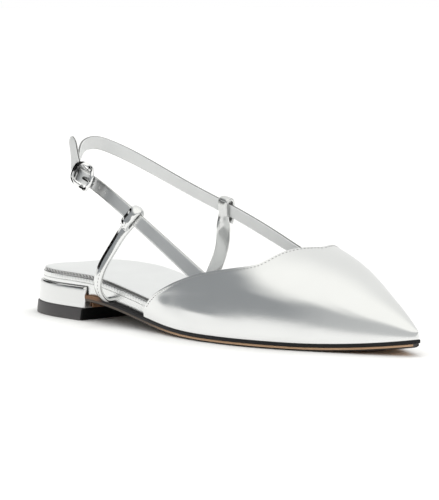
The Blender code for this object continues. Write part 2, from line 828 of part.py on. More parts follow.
prong_places = [
    (hook * math.cos(math.radians(a)), bar_level + hook * math.sin(math.radians(a)))
    for a in range(-120, 91, 30)
]
rest = WIRE_RADIUS + GAP + PRONG_RADIUS
prong_places += [(-1.4, -0.9), (-2.4, 0.6), (-3.6, 1.6), (-5.6, rest + 0.1), (-8.8, rest)]
buckle_prong = tube(
    "buckle_prong",
    [at_buckle(run, out) for run, out in prong_places],
    PRONG_RADIUS,
    CHROME,
    SHOE,
    upward,
    taper=(0.6, 0.95),
)

for cutter in CUTTERS.objects:
    cutter.hide_render = True
    cutter.display_type = "WIRE"
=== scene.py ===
import math

import bpy
import numpy as np
from mathutils import Matrix, Vector


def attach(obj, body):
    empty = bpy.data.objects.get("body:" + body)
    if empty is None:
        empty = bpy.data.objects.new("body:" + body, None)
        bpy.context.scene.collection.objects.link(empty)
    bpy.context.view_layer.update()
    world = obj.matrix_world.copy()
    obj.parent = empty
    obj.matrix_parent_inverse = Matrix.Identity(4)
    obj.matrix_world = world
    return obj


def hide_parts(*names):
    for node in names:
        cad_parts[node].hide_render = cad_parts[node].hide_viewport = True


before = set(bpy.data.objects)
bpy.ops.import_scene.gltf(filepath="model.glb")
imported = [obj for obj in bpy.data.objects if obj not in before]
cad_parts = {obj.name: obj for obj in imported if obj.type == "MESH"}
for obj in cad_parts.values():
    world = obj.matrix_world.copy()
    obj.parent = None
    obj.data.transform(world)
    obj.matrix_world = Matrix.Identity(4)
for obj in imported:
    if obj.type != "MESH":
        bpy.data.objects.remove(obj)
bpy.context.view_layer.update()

# Outsole: a strip of tan sole leather from the heel's front to the toe tip.
# It is cut from sheet, its lower edge is bevelled, the bevel is painted nearly black as painted shade
# under the sole's edge, and it is cemented on.
# Stations run from the back of the heel, 0, to the toe tip; sizes are millimetres.
MM = 0.001
MIDDLE = 130.3
LENGTH = 262.0
BREAST = 57.5
GAP = 0.3
ARCH_RISE, ARCH_SKEW = 9.6, 1.3
BALL_START, BALL_END = 158.0, 205.0
TOE_SPRING = 4.3
TIP_WIDTH = 1.6
OUTSOLE_INSET, OUTSOLE_THICK = 0.6, 1.8
OUTSOLE_BEVEL, OUTSOLE_BEVEL_RISE = 1.5, 0.8

# Half widths of the sole's edge at each station: station, outer side, inner side
OUTLINE = (
    (0, 0.0, 0.0), (5, 13.0, 12.6), (15, 20.8, 20.4), (30, 25.2, 24.6),
    (54, 26.6, 25.0), (80, 27.6, 24.0), (105, 30.4, 25.6), (130, 34.6, 30.2),
    (155, 37.0, 35.4), (172, 36.2, 37.0), (190, 32.6, 35.6), (208, 26.4, 31.0),
    (226, 18.2, 23.8), (242, 10.0, 16.0), (254, 3.3, 9.6), (262, -3.0, 3.0),
)


def cubic(knots, values):
    """The natural cubic curve through values at knots, as a function of the knot variable."""
    x = np.asarray(knots, float)
    y = np.asarray(values, float)
    h = np.diff(x)
    last = len(x) - 1
    system = np.eye(len(x))
    for i in range(1, last):
        system[i, i - 1 : i + 2] = h[i - 1], 2 * (h[i - 1] + h[i]), h[i]
    slopes = np.diff(y, axis=0) / h.reshape(-1, *[1] * (y.ndim - 1))
    right = np.zeros_like(y)
    right[1:-1] = 6 * np.diff(slopes, axis=0)
    bend = np.linalg.solve(system, right)

    def at(v):
        i = int(np.clip(np.searchsorted(x, v) - 1, 0, last - 1))
        a, b = x[i + 1] - v, v - x[i]
        return (
            (bend[i] * a**3 + bend[i + 1] * b**3) / (6 * h[i])
            + (y[i] / h[i] - bend[i] * h[i] / 6) * a
            + (y[i + 1] / h[i] - bend[i + 1] * h[i] / 6) * b
        )

    return at


def ease(share):
    """0 to 1 with level ends."""
    share = min(1.0, max(0.0, share))
    return share * share * (3 - 2 * share)


def along(x):
    """0 at the heel, 1 at the toe tip, crowded at both ends."""
    return math.acos(min(1.0, max(-1.0, 1 - 2 * x / LENGTH))) / math.pi


def station(t):
    return LENGTH * (1 - math.cos(math.pi * t)) / 2


EDGE_AT = {
    "outer": cubic([along(row[0]) for row in OUTLINE], [-row[1] for row in OUTLINE]),
    "inner": cubic([along(row[0]) for row in OUTLINE], [row[2] for row in OUTLINE]),
}
OUTWARD = {"outer": -1, "inner": 1}


def edge(side, t, inset=0.0):
    """The sole's edge at t on one side, moved inwards by inset."""
    low, high = max(0.0, t - 1e-4), min(1.0, t + 1e-4)
    run = Vector((station(high) - station(low), EDGE_AT[side](high) - EDGE_AT[side](low)))
    run.normalize()
    turn = OUTWARD[side] * inset
    return station(t) + turn * run.y, EDGE_AT[side](t) - turn * run.x


def toe_end(inset):
    """The last t towards the toe where an outline moved in by inset still has some width."""
    t = 0.99
    while edge("inner", t, inset)[1] - edge("outer", t, inset)[1] < TIP_WIDTH:
        t -= 0.001
    return t


def spread(start, end, count):
    return [start + (end - start) * i / (count - 1) for i in range(count)]


def sole_bottom(x):
    if x < BALL_START:
        share = min(1.0, (BALL_START - x) / (BALL_START - BREAST))
        return ARCH_RISE * ease(share**ARCH_SKEW)
    return TOE_SPRING * max(0.0, (x - BALL_END) / (LENGTH - BALL_END)) ** 2


def metres(point):
    """A place in the scene from a station, a place across and a height."""
    return Vector(((point[0] - MIDDLE) * MM, point[1] * MM, point[2] * MM))


def primitive(add, name, **sizes):
    """A new mesh from one of Blender's primitives, alone in the selection."""
    bpy.ops.object.select_all(action="DESELECT")
    add(**sizes)
    piece = bpy.context.object
    piece.name = piece.data.name = name
    return piece


def lay(name, rows, slots=None):
    """A grid laid on rows of points; slots gives each column's material slot."""
    long, wide = len(rows) - 1, len(rows[0]) - 1
    piece = primitive(
        bpy.ops.mesh.primitive_grid_add, name, x_subdivisions=long, y_subdivisions=wide, size=2
    )
    if slots:
        for face in piece.data.polygons:
            face.material_index = slots[int((face.center.y + 1) / 2 * wide)]
    for corner in piece.data.vertices:
        row = rows[round((corner.co.x + 1) / 2 * long)]
        corner.co = metres(row[round((corner.co.y + 1) / 2 * wide)])
    return piece


def edit(*steps):
    """Runs mesh steps, each an operator and its settings, on all of the active piece."""
    bpy.ops.object.mode_set(mode="EDIT")
    bpy.ops.mesh.select_all(action="SELECT")
    for step, settings in steps:
        step(**settings)
    bpy.ops.object.mode_set(mode="OBJECT")


MERGE = (bpy.ops.mesh.remove_doubles, {"threshold": 0.004 * MM})
FACE_OUT = (bpy.ops.mesh.normals_make_consistent, {"inside": False})


def smooth(degrees=40):
    """Shades the selected piece smooth, with sharp edges from an angle up."""
    bpy.ops.object.shade_smooth_by_angle(angle=math.radians(degrees))


def roll(name, loops, slots=None):
    """A closed body: a grid rolled up on loops of points, its seam merged and its ends filled."""
    piece = lay(name, [list(loop) + [loop[0]] for loop in loops], slots)
    edit(MERGE, (bpy.ops.mesh.fill_holes, {"sides": 0}), FACE_OUT)
    smooth()
    return piece


def plate(name, ts, side, inset, low, high, across=12, gather=None):
    """A layer of the bottom between the heights low and high over (x, y).

    side is its profile from bottom to top: rows of (inset, share of the height, offset).
    gather(which, t, share, offset) draws the edge further in, where a wrap is pleated.
    """
    loops = []
    for t in ts:
        edges = {}
        for which in OUTWARD:
            edges[which] = []
            for draw_in, share, offset in side:
                pleat = gather(which, t, share, offset) if gather else 0.0
                x, y = edge(which, t, inset(station(t)) + draw_in + pleat)
                edges[which].append((x, y, low(x, y) + (high(x, y) - low(x, y)) * share + offset))
        loop = []
        for first, second, order, level in (("outer", "inner", 1, high), ("inner", "outer", -1, low)):
            loop += edges[first][::order]
            start, end = loop[-1], edges[second][::order][-1]
            for i in range(1, across):
                x, y = (start[k] + (end[k] - start[k]) * i / across for k in (0, 1))
                loop.append((x, y, level(x, y)))
        loops.append(loop)
    return roll(name, loops)


def feed(tree, node, inputs):
    """Gives each input of a node its value or colour, or the socket that feeds it."""
    for key, value in inputs.items():
        socket = node.inputs[key]
        if isinstance(value, bpy.types.NodeSocket):
            tree.links.new(value, socket)
        else:
            socket.default_value = (*value, 1.0) if socket.type == "RGBA" else value


def add_node(tree, kind, inputs=(), **settings):
    made = tree.nodes.new("ShaderNode" + kind)
    for key, value in settings.items():
        setattr(made, key, value)
    feed(tree, made, dict(inputs))
    return made


def start_finish(name, roughness, metallic=0.0, specular=0.5):
    """A new material: returns it, its node tree and its Principled shader."""
    made = bpy.data.materials.new(name)
    made.use_nodes = True
    tree = made.node_tree
    shader = tree.nodes["Principled BSDF"]
    feed(tree, shader, {"Roughness": roughness, "Metallic": metallic, "Specular IOR Level": specular})
    return made, tree, shader


def add_finish(piece, finish, chosen=None):
    """Gives a finish to the faces that chosen picks, or to the next slot."""
    piece.data.materials.append(finish)
    if chosen:
        for face in piece.data.polygons:
            if chosen(face):
                face.material_index = len(piece.data.materials) - 1


def fix(piece, slot, *nodes):
    """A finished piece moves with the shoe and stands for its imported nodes."""
    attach(piece, "root")
    if nodes:
        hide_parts(*nodes)


def start_group(name, inputs, outputs):
    """A new shader group of number sockets: returns it, the sockets of its inputs and its end node."""
    group = bpy.data.node_groups.new(name, "ShaderNodeTree")
    for key, value in inputs.items():
        socket = group.interface.new_socket(key, in_out="INPUT", socket_type="NodeSocketFloat")
        socket.default_value = value
    for key in outputs:
        group.interface.new_socket(key, in_out="OUTPUT", socket_type="NodeSocketFloat")
    return group, group.nodes.new("NodeGroupInput").outputs, group.nodes.new("NodeGroupOutput")


def place_in(tree):
    return add_node(tree, "TexCoord").outputs["Object"]


def noise(tree, place, scale, detail):
    return add_node(tree, "TexNoise", {"Vector": place, "Scale": scale, "Detail": detail}).outputs["Fac"]


# Shared effect: the fine pebble of leather, as a height, a mask of its pores and slow clouds of tone
grain, grain_in, grain_end = start_group(
    "leather_grain", {"Pebble": 1500.0, "Unevenness": 0.5}, ("Height", "Pores", "Clouds")
)
grain_place = place_in(grain)
cell_shape = {"Vector": grain_place, "Scale": grain_in["Pebble"]}
cells = add_node(grain, "TexVoronoi", cell_shape, feature="SMOOTH_F1").outputs["Distance"]
fine_grain = noise(grain, grain_place, 2600.0, 3.0)
height = add_node(grain, "Mix", {0: grain_in["Unevenness"], 2: cells, 3: fine_grain}).outputs[0]
pores = add_node(grain, "MapRange", {"Value": cells, "From Min": 0.5, "From Max": 0.9}).outputs["Result"]
feed(grain, grain_end, {"Height": height, "Pores": pores, "Clouds": noise(grain, grain_place, 46.0, 4.0)})


def use_effect(tree, group, **inputs):
    """The outputs of a shader group placed in a material with its own values."""
    made = add_node(tree, "Group", node_tree=group)
    feed(tree, made, {key.replace("_", " "): value for key, value in inputs.items()})
    return made.outputs


def bump(tree, shader, height, depth):
    """Relief of so many metres from a height socket, over any relief that is there."""
    relief = add_node(tree, "Bump", {"Height": height, "Strength": 1.0, "Distance": depth})
    for link in shader.inputs["Normal"].links:
        tree.links.new(link.from_socket, relief.inputs["Normal"])
    tree.links.new(relief.outputs["Normal"], shader.inputs["Normal"])


def ramp(tree, value, start, end):
    """0 to 1, with level ends, as a socket's value goes from start to end."""
    limits = {"Value": value, "From Min": start, "From Max": end}
    return add_node(tree, "MapRange", limits, interpolation_type="SMOOTHSTEP").outputs["Result"]


def place_mask(tree, axis, start, end):
    """0 to 1 from one place to another along an axis, in metres."""
    parts = add_node(tree, "SeparateXYZ", {"Vector": place_in(tree)})
    return ramp(tree, parts.outputs[axis], start, end)


def mix_colours(tree, factor, first, second):
    """A colour between two, by a factor socket."""
    return add_node(tree, "Mix", {0: factor, 6: first, 7: second}, data_type="RGBA").outputs[2]


def grained_finish(name, roughness, pebble, unevenness, tones, depth, **settings):
    """A material whose tone drifts between two colours over a grain that rises by depth metres.

    Returns it with its node tree, its shader, the grain's outputs and the tone.
    """
    made, tree, shader = start_finish(name, roughness, **settings)
    pebbles = use_effect(tree, grain, Pebble=pebble, Unevenness=unevenness)
    tone = mix_colours(tree, pebbles["Clouds"], *tones)
    feed(tree, shader, {"Base Color": tone})
    if depth:
        bump(tree, shader, pebbles["Height"], depth)
    return made, tree, shader, pebbles, tone


def tan_leather():
    """Vegetable-tanned sole leather: warm tan, painted darker at the waist as painted shade under the
    arch.
    """
    tans = (0.50, 0.30, 0.165), (0.68, 0.45, 0.28)
    made, tree, shader, _, worn = grained_finish("tan_leather", 0.5, 1100.0, 0.7, tans, 0.00004)
    # Painted shade: the tan turns dark brown towards the waist, for the shadow under the arch.
    waist_painted_shade = place_mask(tree, "X", -0.026, 0.012)
    feed(tree, shader, {"Base Color": mix_colours(tree, waist_painted_shade, (0.10, 0.075, 0.055), worn)})
    return made


def bevel_painted_shade():
    """The bevel under the sole's edge, painted nearly black as painted shade."""
    bevel_shade_tones = (0.012, 0.010, 0.009), (0.035, 0.026, 0.02)
    return grained_finish("bevel_painted_shade", 0.45, 1300.0, 0.6, bevel_shade_tones, 0.00004)[0]


outsole = plate(
    "outsole_leather",
    spread(along(BREAST + GAP), toe_end(OUTSOLE_INSET + OUTSOLE_BEVEL), 120),
    (
        (OUTSOLE_BEVEL, 0, 0.0),
        (OUTSOLE_BEVEL * 0.45, 0, OUTSOLE_BEVEL_RISE * 0.28),
        (0.12, 0, OUTSOLE_BEVEL_RISE * 0.75),
        (0.0, 0, OUTSOLE_BEVEL_RISE),
        (0.0, 1, -0.12),
        (0.12, 1, 0.0),
    ),
    lambda x: OUTSOLE_INSET,
    lambda x, y: sole_bottom(x),
    lambda x, y: sole_bottom(x) + OUTSOLE_THICK,
)
add_finish(outsole, tan_leather())
# Painted shade: the bevel's down-facing faces get the nearly black finish, for the shade under the sole's
# edge.
add_finish(outsole, bevel_painted_shade(), lambda face: -0.97 < face.normal.z < -0.25)
fix(outsole, "tan_leather", "outsole")

# Midsole: the thin fibre layer over the outsole, whose edge is inked black and polished.
# It shows as the black line under the upper and under the wrapped insole.
MIDSOLE_THICK, MIDSOLE_ROUND = 1.5, 0.35


def midsole_bottom(x):
    return sole_bottom(x) + OUTSOLE_THICK + GAP * 0.2


def midsole_top(x):
    return sole_bottom(x) + OUTSOLE_THICK + GAP + MIDSOLE_THICK


def arc(radius, degrees):
    """Points round a centre, (cosine, sine), at angles in degrees."""
    turns = [math.radians(angle) for angle in degrees]
    return [(radius * math.cos(turn), radius * math.sin(turn)) for turn in turns]


def rounded_side(low_round, high_round):
    """A plate's side with round edges, bottom to top."""
    quarter = (0, 22.5, 45, 67.5, 90)
    low = [(low_round - s, 0, low_round - c) for c, s in arc(low_round, quarter)]
    return low + [(high_round - c, 1, s - high_round) for c, s in arc(high_round, quarter)]


def black_edge():
    """Black edge ink, rubbed to a soft gloss; the layer is left brown where it meets the heel."""
    inks = (0.004, 0.004, 0.005), (0.012, 0.011, 0.012)
    made, tree, shader, pebbles, ink = grained_finish(
        "black_edge", 0.45, 900.0, 0.8, inks, 0.00003, specular=0.25
    )
    brown = mix_colours(tree, pebbles["Clouds"], (0.13, 0.062, 0.03), (0.32, 0.175, 0.095))
    inked = place_mask(tree, "X", -0.064, -0.057)
    feed(tree, shader, {"Base Color": mix_colours(tree, inked, brown, ink)})
    return made


midsole = plate(
    "midsole_edge",
    spread(along(BREAST + GAP), toe_end(MIDSOLE_ROUND), 120),
    rounded_side(MIDSOLE_ROUND, MIDSOLE_ROUND),
    lambda x: 0.0,
    lambda x, y: midsole_bottom(x),
    lambda x, y: midsole_top(x),
)
add_finish(midsole, black_edge())
fix(midsole, "black_edge", "midsole")

# Heel: a low block covered in the silver leather, on a black rubber lift.
# The cover is pulled round the block and turned onto its front, where a tan piece hides the turning.
LIFT_THICK = 6.2
BLOCK_TOP = 17.5
BREAST_FOOT = 56.0
HEEL_FLARE, HEEL_INSET_TOP = 1.4, 0.4
HEEL_CORNER_ROUND = 1.6
HEEL_EDGE_ROUND = 1.5
COVER_THICK, COVER_HALF_WIDTH, COVER_ROUND = 1.0, 21.5, 0.35


def heel_front(z):
    """Station of the heel's front face, which leans forwards."""
    return BREAST_FOOT + (BREAST - BREAST_FOOT) * z / BLOCK_TOP


def heel_loop(z, draw_in, flare=HEEL_FLARE):
    """The heel's outline at a height, round at the back, with round corners at the front."""
    r = HEEL_CORNER_ROUND
    inset = (HEEL_INSET_TOP + flare) * z / BLOCK_TOP - flare + draw_in
    front = heel_front(z) - draw_in
    corner_t = along(front - r)
    run = [corner_t * (1 - i / 40) ** 1.15 for i in range(41)]
    outer = [edge("outer", t, inset) for t in run]
    inner = [edge("inner", t, inset) for t in run[-2::-1]]
    corner = [(s - r, r - c) for c, s in arc(r, range(15, 91, 15))]
    inner_front = [(front + dx, inner[-1][1] - dy) for dx, dy in corner]
    outer_front = [(front + dx, outer[0][1] + dy) for dx, dy in corner[::-1]]
    return [(*p, z) for p in outer + inner + inner_front + outer_front]


def rubber():
    """Black heel rubber: dull, finely pitted, greyer where the floor rubs it."""
    made, tree, shader = start_finish("black_rubber", 0.48)
    floor_rub = place_mask(tree, "Z", 0.0025, 0.0)
    worn = mix_colours(tree, floor_rub, (0.062, 0.058, 0.060), (0.085, 0.08, 0.08))
    feed(tree, shader, {"Base Color": worn})
    bump(tree, shader, use_effect(tree, grain, Pebble=2400.0, Unevenness=0.6)["Height"], 0.00005)
    return made


def lift_front_painted_shade():
    """The lift's front, painted dull black as painted shade for the shadow under the arch."""
    ink = (0.004, 0.004, 0.004)
    return grained_finish("lift_front_painted_shade", 0.6, 2400.0, 0.6, (ink, ink), 0.00004, specular=0.12)[0]


heel_lift = roll(
    "heel_lift_rubber",
    [heel_loop(z, draw_in) for z, draw_in in ((0.0, 0.5), (0.15, 0.15), (0.5, 0.0))]
    + [heel_loop(LIFT_THICK - down, draw_in) for down, draw_in in ((0.3, 0.0), (0.08, 0.08), (0.0, 0.3))],
)
add_finish(heel_lift, rubber())
# Painted shade: the lift's faces that look towards the arch get the dull black finish.
add_finish(heel_lift, lift_front_painted_shade(), lambda face: face.normal.x > 0.6)
fix(heel_lift, "black_rubber", "heel_lift")

# Shared effect: the film on mirror leather, as slow waves in its gloss and a faint haze
film, film_in, film_end = start_group(
    "mirror_film", {"Gloss": 0.2, "Haze": 0.06, "Wave Size": 90.0}, ("Roughness", "Waves")
)
film_place = place_in(film)
hazy = {0: noise(film, film_place, 60.0, 5.0), 1: film_in["Haze"], 2: film_in["Gloss"]}
film_rough = add_node(film, "Math", hazy, operation="MULTIPLY_ADD").outputs[0]
film_waves = noise(film, film_place, film_in["Wave Size"], 2.0)
feed(film, film_end, {"Roughness": film_rough, "Waves": film_waves})


def silver_leather(name, gloss, colour=(0.83, 0.835, 0.83)):
    """Leather faced with a mirror-silver film that shows a trace of the grain."""
    dusty = tuple(c * 0.93 for c in colour)
    made, tree, shader, pebbles, _ = grained_finish(
        name, gloss, 1800.0, 0.5, (dusty, colour), 0.0, metallic=1.0
    )
    sheen = use_effect(tree, film, Gloss=gloss, Haze=0.05, Wave_Size=90.0)
    feed(tree, shader, {"Roughness": sheen["Roughness"]})
    bump(tree, shader, sheen["Waves"], 0.00004)
    bump(tree, shader, pebbles["Height"], 0.000004)
    return made


BLOCK_FLARE = 0.2
block_foot = LIFT_THICK + GAP * 0.3
block_sides = [(block_foot, 0.35), (block_foot + 0.1, 0.1)]
block_sides += [(block_foot + 0.35 + 1.6 * i, 0.0) for i in range(6)]
block_sides += [
    (BLOCK_TOP - HEEL_EDGE_ROUND + s, HEEL_EDGE_ROUND - c)
    for c, s in arc(HEEL_EDGE_ROUND, range(0, 91, 15))
]
heel_block = roll("heel_cover", [heel_loop(z, draw_in, BLOCK_FLARE) for z, draw_in in block_sides])
# Painted shade: the heel's cover is the same silver leather in a darker colour, for its duller look.
add_finish(heel_block, silver_leather("heel_silver_painted_shade", 0.16, colour=(0.76, 0.765, 0.76)))
fix(heel_block, "heel_leather", "heel_block")


def breast_leather():
    """Plain brown leather on the heel's front, its tone drifting between two browns."""
    browns = (0.14, 0.062, 0.028), (0.36, 0.19, 0.10)
    return grained_finish("breast_leather", 0.55, 1200.0, 0.6, browns, 0.00006)[0]


cover_top = sole_bottom(BREAST) - GAP
cover_foot = LIFT_THICK + GAP
cover_middle = heel_front(cover_top) + GAP + COVER_THICK / 2
breast_cover = primitive(bpy.ops.mesh.primitive_cube_add, "breast_cover_leather", size=1)
breast_cover.dimensions = Vector((COVER_THICK, 2 * COVER_HALF_WIDTH, cover_top - cover_foot)) * MM
breast_cover.location = metres((cover_middle, 0.0, (cover_top + cover_foot) / 2))
bpy.ops.object.transform_apply(location=True, rotation=True, scale=True)
edit((bpy.ops.mesh.bevel, {"offset": COVER_ROUND * MM, "segments": 4, "affect": "EDGES"}))
smooth()
add_finish(breast_cover, breast_leather())
fix(breast_cover, "breast_leather", "breast_cover")

# Insole: a fibre board wrapped in silver leather, seen as a band at the waist and heel.
# The wrap is in two strips, with a seam under the top edge where the upper strip is gathered.
INSOLE_INSET, INSOLE_TOE_INSET = 2.3, 0.8
INSOLE_WAIST_THICK, INSOLE_TOE_THICK = 7.4, 3.0
INSOLE_THIN_START, INSOLE_THIN_END = 112.0, 165.0
INSOLE_ROUND = 0.7
SEAM_DROP, SEAM_DEEP, SEAM_HALF = 2.9, 0.32, 0.22
PLEAT_PITCH, PLEAT_DEEP, PLEAT_SLANT = 2.3, 0.09, 1.4
HEEL_RAISE, HEEL_RAISE_END = 1.5, 90.0
INNER_RAISE, INNER_RAISE_END = 3.2, 130.0


def insole_inset(x):
    return INSOLE_INSET + INSOLE_TOE_INSET * ease((x - INSOLE_THIN_START) / 50)


def insole_bottom(x):
    if x < BREAST + 2 * GAP:
        return BLOCK_TOP + GAP * 0.3
    return midsole_top(x) + GAP * 0.3


def insole_top(x, y):
    """The foot bed: level at the heel, down the arch, thin at the toes, raised on the inner side."""
    share = ease((x - INSOLE_THIN_START) / (INSOLE_THIN_END - INSOLE_THIN_START))
    thick = INSOLE_WAIST_THICK + (INSOLE_TOE_THICK - INSOLE_WAIST_THICK) * share
    side = max(0.0, y / EDGE_AT["inner"](along(min(max(x, 1.0), LENGTH - 1.0))))
    raised = INNER_RAISE * side**2 * ease((INNER_RAISE_END - x) / 60) * ease(x / 30)
    raised += HEEL_RAISE * ease((HEEL_RAISE_END - x) / 50)
    return midsole_top(max(x, BREAST)) + GAP + thick + raised


EDGE_RUN = {}
run_ts = spread(0.0, 1.0, 400)
for which in OUTWARD:
    spots = np.array([edge(which, t) for t in run_ts])
    lengths = np.hypot(*np.diff(spots, axis=0).T)
    EDGE_RUN[which] = np.concatenate([[0.0], np.cumsum(lengths)])


def pleats(which, t, share, offset):
    """Slanting pleats in the strip over the seam, deepest at its top edge."""
    if share < 1 or offset < -SEAM_DROP + SEAM_HALF / 2:
        return 0.0
    run = np.interp(t, run_ts, EDGE_RUN[which]) + PLEAT_SLANT * offset
    wave = 0.5 + 0.5 * math.cos(2 * math.pi * run / PLEAT_PITCH)
    return PLEAT_DEEP * wave**5 * (1 + offset / SEAM_DROP)


step_t = along(BREAST + 2 * GAP)
insole_tip = toe_end(insole_inset(LENGTH) + INSOLE_ROUND)
insole_ts = spread(0.018, step_t - 0.0006, 260) + spread(step_t + 0.0006, 0.52, 170)
insole_ts += spread(0.525, insole_tip, 70)
insole_side = rounded_side(0.25, INSOLE_ROUND)
insole_side[5:5] = [
    (SEAM_DEEP * math.cos(math.pi / 6 * k) ** 2, 1, -SEAM_DROP + SEAM_HALF * k / 3) for k in range(-3, 4)
]
insole = plate(
    "insole_wrap",
    insole_ts,
    insole_side,
    insole_inset,
    lambda x, y: insole_bottom(x),
    insole_top,
    gather=pleats,
)
add_finish(insole, silver_leather("insole_silver", 0.24))
fix(insole, "insole_leather", "insole")

# Sock: the thin silver lining that the foot rests on, cut a little inside the insole.
# It is cemented on; its cut side is dark grey all round, partly the fibre's colour and partly painted
# shade for the dark line between sock and insole.
SOCK_THICK, SOCK_INSET, SOCK_ROUND = 1.2, 0.9, 0.5


def sock_silver():
    """Satin silver lining leather, fine in the grain."""
    silvers = (0.80, 0.81, 0.81), (0.88, 0.89, 0.89)
    return grained_finish("sock_silver", 0.38, 1500.0, 0.5, silvers, 0.00002, metallic=0.8)[0]


def cut_edge_and_painted_shade():
    """The lining's cut edge, dark grey fibre with painted shade, with pale and dark slanting stripes
    round the heel painted as the light and shade of small pleats.
    """
    greys = (0.07, 0.07, 0.07), (0.16, 0.16, 0.155)
    made, tree, shader, _, tone = grained_finish("cut_edge_and_painted_shade", 0.7, 3000.0, 0.8, greys, 0.00005)
    bands = {"Vector": place_in(tree), "Scale": 250.0, "Distortion": 1.2}
    # Painted light and shade: pale and dark slanting stripes round the heel, for light on small pleats.
    pleat_light_stripes = add_node(tree, "TexWave", bands, bands_direction="DIAGONAL").outputs["Fac"]
    painted_pleat_light = mix_colours(tree, pleat_light_stripes, (0.10, 0.10, 0.10), (0.72, 0.72, 0.71))
    heel = place_mask(tree, "X", -0.056, -0.066)
    feed(tree, shader, {"Base Color": mix_colours(tree, heel, tone, painted_pleat_light)})
    return made


sock = plate(
    "sock_lining",
    spread(0.025, toe_end(insole_inset(LENGTH) + SOCK_INSET + SOCK_ROUND), 160),
    rounded_side(0.1, SOCK_ROUND),
    lambda x: insole_inset(x) + SOCK_INSET,
    lambda x, y: insole_top(x, y) + GAP * 0.3,
    lambda x, y: insole_top(x, y) + GAP + SOCK_THICK,
    across=24,
)
add_finish(sock, sock_silver())
add_finish(sock, cut_edge_and_painted_shade(), lambda face: abs(face.normal.z) < 0.35)
fix(sock, "sock_leather", "sock")

# Vamp: the upper, one pointed shell of mirror-silver leather with low-cut wings at its sides.
# It is cut in one piece, lined, folded over along the topline and lasted onto the insole.
VAMP_WALL, VAMP_INSET = 1.3, 0.5
RIM_ROUND, RIM_ANGLE = 0.45, 50
RIDGE_SHIFT = 4.0
WING_END = 108.0
TOPLINE_FOLD, TOPLINE_RISE, TOPLINE_SLOPE = 1.6, 0.12, 0.7

# Height of the ridge over the floor: station, height
RIDGE = (
    (105, 70.0), (150, 59.0), (180, 51.4), (200, 45.2),
    (220, 37.2), (238, 27.0), (252, 18.5), (262, 11.5),
)

# Squareness of the half sections, 2 for an ellipse: station, power
POWER = ((108, 2.0), (145, 2.05), (170, 2.35), (190, 2.65), (215, 2.6), (240, 2.4), (262, 2.3))

# Where the topline crosses each share of the way from sole edge to ridge: share, station
TOPLINE = (
    (0.0, 106.0), (0.08, 111.0), (0.16, 119.5), (0.25, 133.0),
    (0.33, 149.5), (0.40, 168.5), (0.46, 180.5), (0.53, 186.0),
    (0.65, 189.7), (0.82, 193.6), (1.0, 197.4),
)

# Soft troughs and ridges of the outer side: station, share up, half length, half width, height, slope
CREASES = (
    (129, 0.16, 9, 0.030, -0.16, 0.0022),
    (143, 0.25, 12, 0.032, 0.14, 0.0028),
    (151, 0.19, 11, 0.028, -0.15, 0.0015),
    (152, 0.11, 12, 0.026, 0.14, -0.0012),
    (166, 0.30, 13, 0.034, -0.12, 0.0020),
    (186, 0.24, 15, 0.030, 0.07, -0.0010),
    (226, 0.33, 12, 0.050, -0.06, -0.0020),
)
FLARE, FLARE_START, FLARE_END = 1.1, 130.0, 112.0
RIDGE_AT, POWER_AT, TOPLINE_AT = (cubic(*zip(*table)) for table in (RIDGE, POWER, TOPLINE))


def section_point(x, share, side):
    """A point of the upper's outer face: share 0 at the sole's edge, 1 at the ridge."""
    t = along(x)
    _, foot_y = edge(side, t, VAMP_INSET)
    middle = (EDGE_AT["outer"](t) + EDGE_AT["inner"](t)) / 2
    ridge_y = middle + RIDGE_SHIFT * (1 - ((x - WING_END) / (LENGTH - WING_END)) ** 2)
    foot_z = midsole_top(x) + GAP * 0.3
    angle = share * math.pi / 2
    across = max(0.0, math.cos(angle)) ** (2 / POWER_AT(x))
    up = max(0.0, math.sin(angle)) ** (2 / POWER_AT(x))
    back = VAMP_INSET * ease((x - LENGTH + 20) / 20)
    return Vector(
        (x - back, ridge_y + (foot_y - ridge_y) * across, foot_z + (RIDGE_AT(x) - foot_z) * up)
    )


def section_normal(x, share, side):
    """Outward normal of the upper there."""
    ahead = section_point(x + 1, share, side) - section_point(x - 1, share, side)
    up = section_point(x, share + 0.01, side) - section_point(x, share - 0.01, side)
    normal = ahead.cross(up).normalized()
    return normal if normal.y * OUTWARD[side] > 0 else -normal


def creased_point(x, share, side):
    """A point of the upper's outer face with its soft creases and the flare of the wing's end."""
    lift = FLARE * share / 0.2 * ease((FLARE_START - x) / (FLARE_START - FLARE_END))
    for at, up, half_length, half_width, high, slope in CREASES:
        along_it = (x - at) / half_length
        across_it = (share - up - slope * (x - at)) / half_width
        if side == "outer" and abs(along_it) < 2.5 and abs(across_it) < 2.5:
            lift += high * math.exp(-(along_it**2) - across_it**2)
    point = section_point(x, share, side)
    return point + section_normal(x, max(share, 0.01), side) * lift if lift else point


def lining_leather():
    """Pale grey lining leather with a soft nap."""
    pales = (0.80, 0.81, 0.81), (0.90, 0.905, 0.90)
    return grained_finish("lining_leather", 0.5, 1300.0, 0.6, pales, 0.00005, metallic=0.35)[0]


def join(name, pieces):
    """Joins pieces into the first of them."""
    bpy.ops.object.select_all(action="DESELECT")
    for piece in pieces:
        piece.select_set(True)
    bpy.context.view_layer.objects.active = pieces[0]
    bpy.ops.object.join()
    pieces[0].name = pieces[0].data.name = name
    return pieces[0]


def modify(piece, kind, **settings):
    """Adds a modifier to a piece and applies it."""
    bpy.context.view_layer.objects.active = piece
    made = piece.modifiers.new(kind, kind)
    for key, value in settings.items():
        setattr(made, key, value)
    bpy.ops.object.modifier_apply(modifier=kind)


